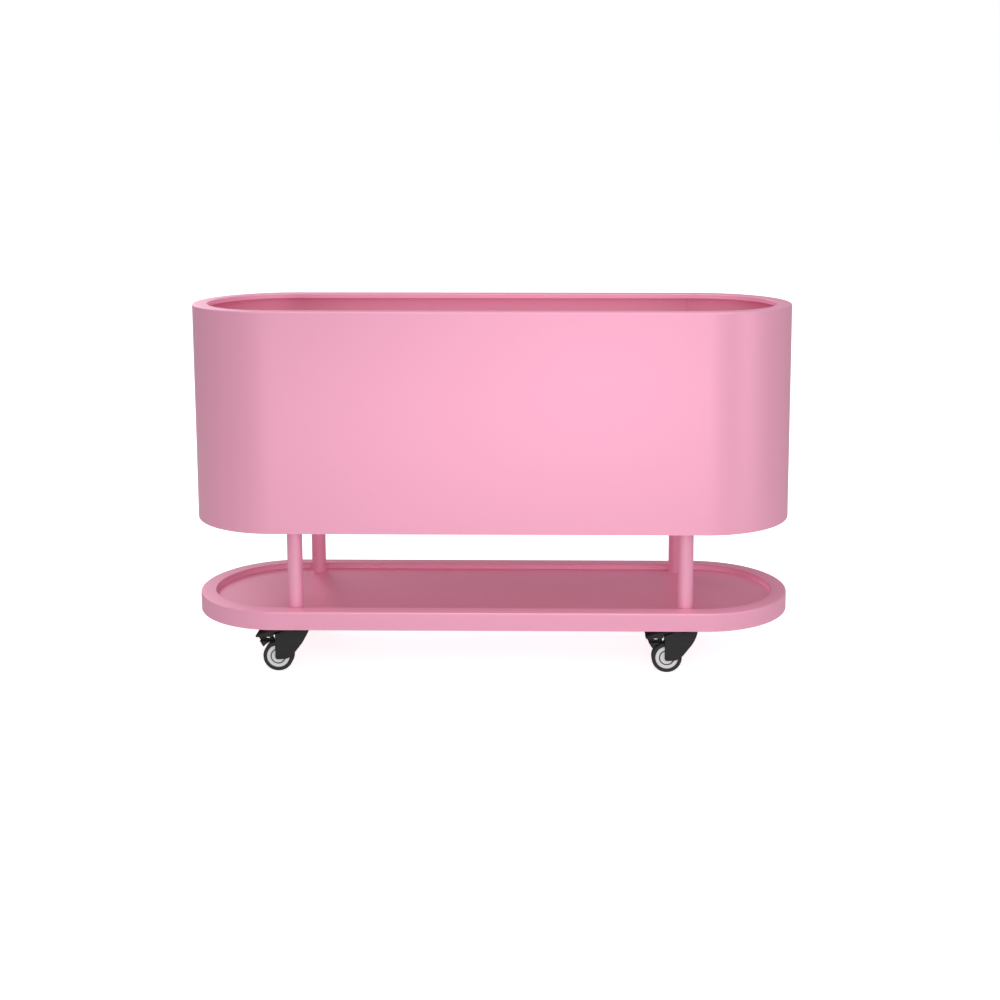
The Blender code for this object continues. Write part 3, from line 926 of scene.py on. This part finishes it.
class SPA_OT_seam(bpy.types.Operator):
    """Make the rounded seam inside the back wall"""

    bl_idname = "spa_cart.seam"
    bl_label = "Wall seam"

    def execute(self, context):
        low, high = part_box("wall_seam_strip")
        half = (high.x - low.x) / 2
        centre_x = (low.x + high.x) / 2
        round_side = arc((centre_x, high.y), half, 180, 360, 12)
        squash = (high.y - low.y) / half
        outline = [Vector((point.x, -high.y - (point.y - high.y) * squash)) for point in round_side]
        bottom = FLOOR_TOP + context.scene.spa_sheet.flange + FIT_GAP
        strip = slab("seam_bead", outline, (high.z - bottom) / 2)
        strip.transform(Matrix.Rotation(math.pi / 2, 4, "X"))
        strip.transform(Matrix.Translation((0, 0, (high.z + bottom) / 2)))
        finish_piece("seam_bead", shaded(strip), "pink_powder_coat", "cart", ["wall_seam_strip"])
        return {"FINISHED"}


class SPA_OT_tray(bpy.types.Operator):
    """Fold the tray's wall and rim, and press its pan"""

    bl_idname = "spa_cart.tray"
    bl_label = "Tray"

    def execute(self, context):
        sheet = context.scene.spa_sheet
        line = [(0, TRAY_LOW), (0, TRAY_TOP), (RIM_WIDTH, TRAY_TOP)]
        section = folded_section(line, [sheet.rim_fold], SHEET, sheet.cut_edge)
        mesh = shaded(rolled_sheet("tray_frame", section))
        finish_piece("tray_frame", mesh, "pink_powder_coat", "cart", ("tray_wall", "tray_rim_plate"))

        floor = PAN_LOW + SHEET
        turn = arc((RIM_WIDTH + sheet.pan_fold, floor + sheet.pan_fold), sheet.pan_fold, 180, 270, 6)
        mesh = shaded(skin_pan("tray_pan_pressing", [(RIM_WIDTH, PAN_EDGE), *turn], SHEET))
        finish_piece("tray_pan_pressing", mesh, "pink_powder_coat", "cart", ["tray_pan"])
        return {"FINISHED"}


# Posts and what sits at their ends


class SPA_OT_posts(bpy.types.Operator):
    """Cut the four posts from round tube"""

    bl_idname = "spa_cart.posts"
    bl_label = "Posts"

    def execute(self, context):
        wall = 0.0015
        edge = context.scene.spa_sheet.cut_edge
        inner = POST_RADIUS - wall
        profile = [
            (inner, POST_LOW + edge),
            (inner + edge, POST_LOW),
            (POST_RADIUS - edge, POST_LOW),
            (POST_RADIUS, POST_LOW + edge),
            (POST_RADIUS, POST_TOP - edge),
            (POST_RADIUS - edge, POST_TOP),
            (inner + edge, POST_TOP),
            (inner, POST_TOP - edge),
            (inner, POST_LOW + edge),
        ]
        tube = shaded(turned("post_tube", profile, POST_STEPS))
        at_each_corner("post_tube", tube, "pink_powder_coat", "cart", ["post"])
        return {"FINISHED"}


class SPA_OT_welds(bpy.types.Operator):
    """Lay the weld beads round the posts' feet and heads"""

    bl_idname = "spa_cart.welds"
    bl_label = "Post welds"

    def execute(self, context):
        leg = context.scene.spa_sheet.weld
        inner = POST_RADIUS + MERGE
        foot, head = PAN_LOW + SHEET + MERGE, FLOOR_LOW - MERGE
        for name, low, up in (("foot_welds", foot, 1), ("head_welds", head, -1)):
            hollow = arc((inner + leg, low + up * leg), leg * 0.93, 180, 180 + up * 90, 6)
            profile = [(inner, low), (inner, low + up * leg), *hollow, (inner + leg, low), (inner, low)]
            bead = turned(name, profile, POST_STEPS)
            # A quarter share of the fold mask gives the beads a faint painted highlight
            ripple = bead.attributes.new("fold", "FLOAT", "POINT")
            ripple.data.foreach_set("value", [0.25] * len(bead.vertices))
            under_each_post(name, bead, "pink_powder_coat", 60)
        return {"FINISHED"}


class SPA_OT_bolts(bpy.types.Operator):
    """Make the button-head bolts that hold the tub to its posts"""

    bl_idname = "spa_cart.bolts"
    bl_label = "Floor bolts"

    def execute(self, context):
        seat = FLOOR_TOP + FIT_GAP
        head = BOLT_HEAD_RADIUS
        rise = BOLT_TOP - seat
        shank = head / 2
        shank_low = POST_TOP - 0.010
        socket = shank * 0.62
        angles = [math.radians(5 + 8 * step) for step in range(10)]
        dome = [(head * math.cos(a), seat + rise * (0.25 + 0.75 * math.sin(a))) for a in angles]
        profile = [(0, shank_low), (shank, shank_low), (shank, seat), (head * 0.98, seat), *dome]
        profile += [(head * 0.12, BOLT_TOP), (0, BOLT_TOP)]
        hexagon = [(0, BOLT_TOP - rise * 0.6), (socket, BOLT_TOP - rise * 0.6), (socket, BOLT_TOP + rise)]
        hexagon.append((0, BOLT_TOP + rise))
        bolt = turned("floor_bolt", profile, BORE_STEPS)
        part = shaded(combined(bolt, [("DIFFERENCE", turned("hex_socket", hexagon, 6))]))
        under_each_post("floor_bolts", part, "zinc_steel", 35, ["post_top_bolt"])
        return {"FINISHED"}


class SPA_OT_swivels(bpy.types.Operator):
    """Turn the sockets under the tray and the ball races below them"""

    bl_idname = "spa_cart.swivels"
    bl_label = "Sockets and races"

    def execute(self, context):
        hole = STEM_RADIUS + FIT_GAP
        edge = 0.0008
        tip = SOCKET_RADIUS * 0.78
        socket = [
            (hole, SOCKET_TOP),
            (SOCKET_RADIUS, SOCKET_TOP),
            (SOCKET_RADIUS, SOCKET_LOW + 0.0040),
            (SOCKET_RADIUS - 0.0007, SOCKET_LOW + 0.0031),
            (tip + edge, SOCKET_LOW + edge),
            (tip - edge, SOCKET_LOW),
            (hole, SOCKET_LOW),
            (hole, SOCKET_TOP),
        ]
        boss = turned("boss", socket, POST_STEPS)
        under_each_post("castor_bosses", boss, "pink_powder_coat", 50, ["castor_socket"])

        ball = (RACE_TOP - RACE_LOW) * 0.42
        track = (RACE_TOP + RACE_LOW) / 2
        rim = RACE_RADIUS - edge / 2
        groove = arc((RACE_RADIUS, track), ball, 110, 250, 8)
        race = [(hole, RACE_LOW), (hole, RACE_TOP), (rim, RACE_TOP), *groove, (rim, RACE_LOW)]
        race.append(race[0])
        under_each_post("swivel_races", turned("race", race, POST_STEPS), "zinc_steel", 35, ["swivel_race"])

        work = bmesh.new()
        bmesh.ops.create_icosphere(work, subdivisions=2, radius=ball * 0.9)
        bmesh.ops.translate(work, verts=work.verts, vec=(0, 0, track))
        ring = with_part(
            "ball_ring", shared_group("ring_of_parts", ring_tree), clean_mesh("ball", work),
            radius=RACE_RADIUS - ball * 0.95, count=context.scene.spa_castor.balls,
            material=finish("zinc_steel"),
        )
        under_each_post("swivel_balls", ring, "zinc_steel", 60)
        return {"FINISHED"}


# Castors


def lathed(name, profile, steps, at):
    """A profile turned about Y, through the given point of a castor."""
    return lay_along_y(turned(name, profile, steps), (at.x, 0, at.z))


def barrel(name, radius, half_width, steps, at):
    """A plain cylinder along Y, through the given point of a castor."""
    profile = [(0, -half_width), (radius, -half_width), (radius, half_width), (0, half_width)]
    return lathed(name, profile, steps, at)


def bore(name, radius, low):
    """A long upright cutter on the swivel's axis, from the given height."""
    mesh = turned(name, [(0, 0), (radius, 0), (radius, 1), (0, 1)], BORE_STEPS)
    mesh.transform(Matrix.Translation((0, 0, low)))
    return mesh


def mirrored(side):
    """A closed profile from one side of it, which is repeated below the middle."""
    return [*side, *((radius, -height) for radius, height in reversed(side)), side[0]]


class SPA_OT_housings(bpy.types.Operator):
    """Mould the castor housings"""

    bl_idname = "spa_cart.housings"
    bl_label = "Castor housings"

    def execute(self, context):
        looks = context.scene.spa_castor
        lobe = AXLE_RADIUS + 0.0016
        left = AXLE.x - lobe
        low = AXLE.z - lobe
        dish_half, dish_depth = 0.011, 0.004
        dish_radius = (dish_half ** 2 + dish_depth ** 2) / (2 * dish_depth)
        dish_angle = math.degrees(math.asin(dish_half / dish_radius))
        dish_centre = (0, FORK_TOP - dish_depth + dish_radius)
        rear = AXLE.x + 0.0131
        right = rounded_outline([
            (left, CROWN + 0.0150, 0.0028),
            (left, low, 0.0042),
            (AXLE.x + 0.0125, low + 0.0006, 0.0060),
            (AXLE.x + 0.0210, AXLE.z + 0.0002, 0.0050),
            (AXLE.x + 0.0262, AXLE.z + 0.0052, 0.0045),
            (FORK_REACH - 0.0085, FORK_TOP - 0.0235, 0.0100),
            (FORK_REACH - 0.0028, FORK_TOP - 0.0125, 0.0060),
            (FORK_REACH, FORK_TOP, 0.0030),
        ])
        dish = arc(dish_centre, dish_radius, 270 + dish_angle, 270 - dish_angle, 12)
        top = [Vector((rear, FORK_TOP + 0.0003)), Vector((rear, CROWN + 0.0212))]
        body = moulded("castor_housing", [*right, *dish, *top], FORK_WIDTH / 2, looks.edge)
        half = WHEEL_WIDTH / 2 + WHEEL_SIDE_CLEARANCE
        # The slot is a hair narrower than the wheel's pocket, so that the two never share a face
        slot_half = half - 0.0001
        slot_low = CROWN - 0.005
        slot = box_mesh("slot", (AXLE.x - 0.1, -slot_half, slot_low), (rear - 0.0003, slot_half, CROWN + 0.1))
        cuts = [
            barrel("pocket", WHEEL_RADIUS + WHEEL_POCKET_CLEARANCE, half, looks.turn_steps, AXLE),
            slot,
            bore("stem_bore", STEM_RADIUS + FIT_GAP, slot_low),
            bore("race_seat", RACE_RADIUS + FIT_GAP, RACE_LOW - FIT_GAP),
        ]
        mesh = shaded(combined(body, [("DIFFERENCE", cutter) for cutter in cuts]), 30)
        at_each_corner("castor_housing", mesh, "black_nylon", "castor_{corner}", ["castor_fork"])
        return {"FINISHED"}


class SPA_OT_pedals(bpy.types.Operator):
    """Mould the brake pedals, with their windows and tread ribs"""

    bl_idname = "spa_cart.pedals"
    bl_label = "Brake pedals"

    def execute(self, context):
        looks = context.scene.spa_castor
        tip = (AXLE.x - 0.0362, CROWN + 0.0117)
        bend = (AXLE.x - 0.0210, CROWN + 0.0174)
        rear = (AXLE.x + 0.0125, CROWN + 0.0253)
        plate_low = rear[1] - 0.0035
        slope = (rear[1] - bend[1]) / (rear[0] - bend[0])
        skirt_end = AXLE.x - 0.0064
        web = rounded_outline([
            (*tip, 0.0016),
            (AXLE.x - 0.0318, CROWN + 0.0036, 0.0020),
            (AXLE.x - 0.0243, CROWN - 0.0085, 0.0015),
            (AXLE.x - 0.0180, CROWN - 0.0100, 0.0020),
            (AXLE.x + 0.0010, CROWN - 0.0020, 0.0012),
            (AXLE.x + 0.0012, CROWN + 0.0052, 0.0010),
            (PIN.x - 0.0012, PIN.z - 0.0046, 0.0020),
            (PIN.x + 0.0044, PIN.z - 0.0030, 0.0030),
            (PIN.x + 0.0050, plate_low - slope * (rear[0] - PIN.x - 0.0050), 0.0012),
            (rear[0], plate_low, 0.0012),
            (*rear, 0.0012),
            (*bend, 0.0090),
        ])
        plate = rounded_outline([
            (*tip, 0.0016),
            (tip[0] + 0.0026, CROWN + 0.0086, 0.0012),
            (AXLE.x - 0.0240, CROWN + 0.0098, 0.0015),
            (skirt_end, CROWN + 0.0100, 0.0010),
            (skirt_end + 0.0012, plate_low - slope * (rear[0] - skirt_end), 0.0012),
            (rear[0], plate_low, 0.0012),
            (*rear, 0.0012),
            (*bend, 0.0090),
        ])
        shoe = rounded_outline([
            (AXLE.x - 0.0303, CROWN + 0.0012, 0.0012),
            (AXLE.x - 0.0243, CROWN - 0.0085, 0.0015),
            (AXLE.x - 0.0180, CROWN - 0.0100, 0.0020),
            (AXLE.x + 0.0010, CROWN - 0.0020, 0.0012),
            (AXLE.x + 0.0012, CROWN + 0.0004, 0.0012),
            (AXLE.x - 0.0160, CROWN + 0.0006, 0.0030),
        ])
        windows = [
            [
                (-0.0338, 0.0096, 0.0010), (-0.0246, 0.0092, 0.0008),
                (-0.0262, 0.0062, 0.0020), (-0.0308, 0.0058, 0.0024),
            ],
            [
                (-0.0226, 0.0072, 0.0020), (-0.0196, 0.0090, 0.0016), (-0.0142, 0.0086, 0.0008),
                (-0.0146, 0.0030, 0.0020), (-0.0202, 0.0024, 0.0026),
            ],
            [
                (-0.0126, 0.0084, 0.0010), (-0.0090, 0.0098, 0.0024), (-0.0042, 0.0096, 0.0026),
                (-0.0040, 0.0030, 0.0022), (-0.0064, 0.0000, 0.0008), (-0.0078, 0.0046, 0.0030),
            ],
        ]
        half = FORK_WIDTH / 2
        body = moulded("pedal_web", web, looks.web / 2, looks.pedal_edge, 3)
        shoe_mesh = moulded("brake_shoe", shoe, WHEEL_WIDTH / 2, looks.pedal_edge, 3)
        plate_mesh = moulded("pedal_plate", plate, half, looks.pedal_edge, 3)
        pin_barrel = barrel("pin_barrel", 0.0034, half - 0.0048, 40, PIN)
        centre = Vector((PIN.x, 0, PIN.z))
        from_pin = Vector((AXLE.x, 0, AXLE.z)) - centre
        pressed_wheel = centre + Matrix.Rotation(BRAKE_TRAVEL, 3, "Y") @ from_pin
        grip = barrel("pocket", WHEEL_RADIUS + SHOE_CLEARANCE, FORK_WIDTH, looks.turn_steps, pressed_wheel)
        parts = [("UNION", plate_mesh), ("UNION", shoe_mesh), ("UNION", pin_barrel), ("DIFFERENCE", grip)]
        for number, window in enumerate(windows):
            corners = [(AXLE.x + x, CROWN + z, reach) for x, z, reach in window]
            parts.append(("DIFFERENCE", slab(f"window_{number}", rounded_outline(corners), FORK_WIDTH)))
        mesh = shaded(combined(body, parts), 30)
        at_each_corner("pedal_moulding", mesh, "black_nylon", "pedal_{corner}", ["brake_pedal"])

        slant = (bend[1] - tip[1]) / (bend[0] - tip[0])
        rib = slab("tread_rib", arc((0, 0), looks.rib_height, 0, 360, 12)[:-1], half - 0.0030)
        ribs = with_part(
            "tread_ribs", shared_group("row_of_parts", row_tree), rib,
            first=Vector((tip[0] + 0.0034, 0, tip[1] + 0.0034 * slant)),
            last=Vector((bend[0] - 0.0022, 0, bend[1] - 0.0022 * slant)),
            count=looks.tread_ribs, material=finish("black_nylon"),
        )
        at_each_corner("tread_ribs", shaded(ribs), "black_nylon", "pedal_{corner}")
        return {"FINISHED"}


class SPA_OT_wheels(bpy.types.Operator):
    """Turn the hubs and tyres"""

    bl_idname = "spa_cart.wheels"
    bl_label = "Wheels"

    def execute(self, context):
        steps = context.scene.spa_castor.turn_steps
        half = WHEEL_WIDTH / 2
        disc, groove = 0.0108, 0.0020
        face = [
            (AXLE_RADIUS + FIT_GAP, half - 0.0004),
            (AXLE_RADIUS + 0.0008, half),
            (disc * 0.75, half - 0.0001),
            (disc - 0.0004, half - 0.0003),
            (disc, half - 0.0007),
            (disc + 0.0001, half - 0.0018),
            (disc + groove - 0.0001, half - 0.0018),
            (disc + groove, half - 0.0006),
            (disc + groove + 0.0005, half - 0.0002),
            (HUB_RADIUS - 0.0016, half - 0.0004),
            (HUB_RADIUS - 0.0004, half - 0.0009),
            (HUB_RADIUS, half - 0.0014),
        ]
        hub = shaded(lathed("wheel_hub_moulding", mirrored(face), steps, AXLE), 50)
        at_each_corner("wheel_hub_moulding", hub, "white_hub_plastic", "wheel_{corner}", ["wheel_hub"])

        # Black rings set in the hub's grooves on both faces: painted shade in the grooves
        ring = [
            (disc + 0.0003, half - 0.0018),
            (disc + 0.0003, half - 0.0009),
            (disc + groove / 2, half - 0.0006),
            (disc + groove - 0.0003, half - 0.0009),
            (disc + groove - 0.0003, half - 0.0018),
            (disc + 0.0003, half - 0.0018),
        ]
        for side, name in ((1, "outer_seal"), (-1, "inner_seal")):
            profile = [(radius, side * height) for radius, height in ring]
            groove_shade_ring = shaded(lathed(name, profile, steps, AXLE), 50)
            at_each_corner(name, groove_shade_ring, "black_nylon", "wheel_{corner}")

        bead = HUB_RADIUS + FIT_GAP
        corner = 0.0030
        shoulder = arc((WHEEL_RADIUS - corner, half - corner), corner, 75, 12, 6)
        side = [
            (bead, half - 0.0008),
            (bead + 0.0007, half - 0.0002),
            (WHEEL_RADIUS - 0.0032, half),
            *shoulder,
            (WHEEL_RADIUS, 0.0004),
            (WHEEL_RADIUS - 0.0001, 0.0002),
        ]
        tyre = shaded(lathed("tyre_moulding", mirrored(side), steps, AXLE), 50)
        at_each_corner("tyre_moulding", tyre, "tyre_rubber", "wheel_{corner}", ["wheel_tyre"])
        return {"FINISHED"}


class SPA_OT_pins(bpy.types.Operator):
    """Turn the wheel axles and pedal pins"""

    bl_idname = "spa_cart.pins"
    bl_label = "Axles and pins"

    def execute(self, context):
        half = FORK_WIDTH / 2 - 0.0006
        for name, radius, at, node in (
            ("axle_rod", AXLE_RADIUS, AXLE, "wheel_axle"),
            ("pedal_pin", PIN_RADIUS, PIN, "brake_pin"),
        ):
            edge = radius * 0.2
            side = [(radius - edge, half), (radius, half - edge)]
            profile = [(0, half), *side, *((across, -along) for across, along in reversed(side)), (0, -half)]
            rod = shaded(lathed(name, profile, 32, at))
            at_each_corner(name, rod, "zinc_steel", "castor_{corner}", [node])
        return {"FINISHED"}


class SPA_OT_kept_nodes(bpy.types.Operator):
    """Give the frame's own parts that stay their finish"""

    bl_idname = "spa_cart.kept_nodes"
    bl_label = "Plugs and stems"

    def execute(self, context):
        steel = finish("zinc_steel")
        for corner in CORNERS:
            for node in ("post_top_plug", "post_bottom_plug", "castor_stem"):
                kept = frame["nodes"][f"{node}_{corner}"]
                kept.data.materials.clear()
                kept.data.materials.append(steel)
        return {"FINISHED"}


# Stage


def soft_box(name, place, target, size, power):
    """A rectangular area light that the camera doesn't see."""
    light = bpy.data.lights.new(name, "AREA")
    light.shape = "RECTANGLE"
    light.size, light.size_y = size
    light.energy = power
    obj = bpy.data.objects.new(name, light)
    obj.location = place
    obj.rotation_euler = (Vector(target) - Vector(place)).to_track_quat("-Z", "Y").to_euler()
    obj.visible_camera = False
    bpy.context.scene.collection.objects.link(obj)


def shader_choice(tree, ray, other, chosen):
    """The chosen shader for one kind of ray, as the Light Path node names it, and the other for the rest."""
    path = tree.nodes.new("ShaderNodeLightPath")
    mix = tree.nodes.new("ShaderNodeMixShader")
    tree.links.new(path.outputs[ray], mix.inputs["Fac"])
    tree.links.new(other, mix.inputs[1])
    tree.links.new(chosen, mix.inputs[2])
    return mix.outputs["Shader"]


def backdrop(tree, strength):
    """An even white surround. Returns its output."""
    node = set_inputs(tree.nodes.new("ShaderNodeBackground"), {"Color": (1, 1, 1, 1), "Strength": strength})
    return node.outputs["Background"]


def floor_material():
    """A pale floor that stays light to the eye in its own shadows."""
    material, shader = new_finish(
        "studio_floor", Roughness=0.9, Specular_IOR_Level=0.0,
        Emission_Color=(1, 1, 1, 1), Emission_Strength=0.74,
    )
    tree = material.node_tree
    variation = mixed_colour(material, noise(tree, 3.0), (0.90, 0.90, 0.90), (0.94, 0.94, 0.94))
    tree.links.new(variation, shader.inputs["Base Color"])
    matt = tree.nodes.new("ShaderNodeBsdfDiffuse")
    matt.inputs["Color"].default_value = (0.62, 0.62, 0.62, 1)
    surface = shader_choice(tree, "Is Camera Ray", matt.outputs["BSDF"], shader.outputs["BSDF"])
    tree.links.new(surface, tree.nodes["Material Output"].inputs["Surface"])
    return material


class SPA_OT_stage(bpy.types.Operator):
    """Set the camera, the soft boxes, the pale floor and the white surround"""

    bl_idname = "spa_cart.stage"
    bl_label = "Stage"

    def execute(self, context):
        looks = context.scene.spa_stage
        work = bmesh.new()
        bmesh.ops.create_grid(work, x_segments=2, y_segments=2, size=30)
        floor = new_object("studio_floor", clean_mesh("studio_floor", work))
        floor.location.z = -0.0005
        floor.data.materials.append(floor_material())

        soft_box("key_light", (0.25, -1.40, 0.72), (0.10, 0, 0.34), (0.8, 1.1), 3.5)
        soft_box("side_light", (-1.6, 2.2, 1.4), (0, 0, 0.35), (1.2, 1.2), 12)
        soft_box("top_light", (0.1, -0.50, 1.9), (0.05, 0.1, 0.5), (1.6, 0.7), 10)
        soft_box("low_light", (0.0, -0.90, 0.30), (0, -0.05, 0.06), (1.1, 0.25), 1.15)
        soft_box("end_light", (1.70, -1.00, 0.45), (0.40, 0, 0.30), (0.5, 0.9), 2.2)
        soft_box("tub_light", (0.0, -0.09, 0.54), (0, 0.15, 0.55), (0.7, 0.06), 0.15)

        world = bpy.data.worlds.new("white_surround")
        world.use_nodes = True
        tree = world.node_tree
        lit = shader_choice(tree, "Is Glossy Ray", backdrop(tree, 0.66), backdrop(tree, 0.24))
        surround = shader_choice(tree, "Is Camera Ray", lit, backdrop(tree, 1.0))
        tree.links.new(surround, tree.nodes["World Output"].inputs["Surface"])
        context.scene.world = world

        lens = bpy.data.cameras.new("studio_camera")
        lens.lens = looks.lens
        lens.sensor_width = 36
        lens.shift_x = looks.shift_x
        lens.shift_y = looks.shift_y
        camera = bpy.data.objects.new("studio_camera", lens)
        camera.location = looks.camera_place
        camera.rotation_euler = (math.pi / 2 - looks.pitch, 0, looks.yaw)
        context.scene.collection.objects.link(camera)
        context.scene.camera = camera
        context.scene.view_settings.view_transform = "Standard"
        return {"FINISHED"}


# Add-on

STEPS = (
    SPA_OT_stage, SPA_OT_tub, SPA_OT_tub_floor, SPA_OT_seam, SPA_OT_tray, SPA_OT_posts, SPA_OT_welds,
    SPA_OT_bolts, SPA_OT_swivels, SPA_OT_housings, SPA_OT_pedals, SPA_OT_wheels, SPA_OT_pins,
    SPA_OT_kept_nodes,
)
GROUPS = {
    "spa_sheet": SheetSettings,
    "spa_castor": CastorSettings,
    "spa_finish": FinishSettings,
    "spa_stage": StageSettings,
}


class SPA_PT_cart(bpy.types.Panel):
    """The cart's settings and pieces"""

    bl_idname = "SPA_PT_cart"
    bl_label = "Spa Trolley Cart"
    bl_space_type = "VIEW_3D"
    bl_region_type = "UI"
    bl_category = "Spa Cart"

    def draw(self, context):
        for group in GROUPS:
            box = self.layout.box()
            settings = getattr(context.scene, group)
            for prop in settings.bl_rna.properties:
                if prop.identifier not in ("rna_type", "name"):
                    box.prop(settings, prop.identifier)
        for step in STEPS:
            self.layout.operator(step.bl_idname)


def register():
    for group, settings in GROUPS.items():
        bpy.utils.register_class(settings)
        setattr(bpy.types.Scene, group, PointerProperty(type=settings))
    for step in STEPS:
        bpy.utils.register_class(step)
    bpy.utils.register_class(SPA_PT_cart)


def unregister():
    bpy.utils.unregister_class(SPA_PT_cart)
    for step in reversed(STEPS):
        bpy.utils.unregister_class(step)
    for group, settings in reversed(GROUPS.items()):
        delattr(bpy.types.Scene, group)
        bpy.utils.unregister_class(settings)


def main():
    register()
    for step in STEPS:
        getattr(bpy.ops.spa_cart, step.bl_idname.split(".")[1])()


if __name__ == "__main__":
    main()
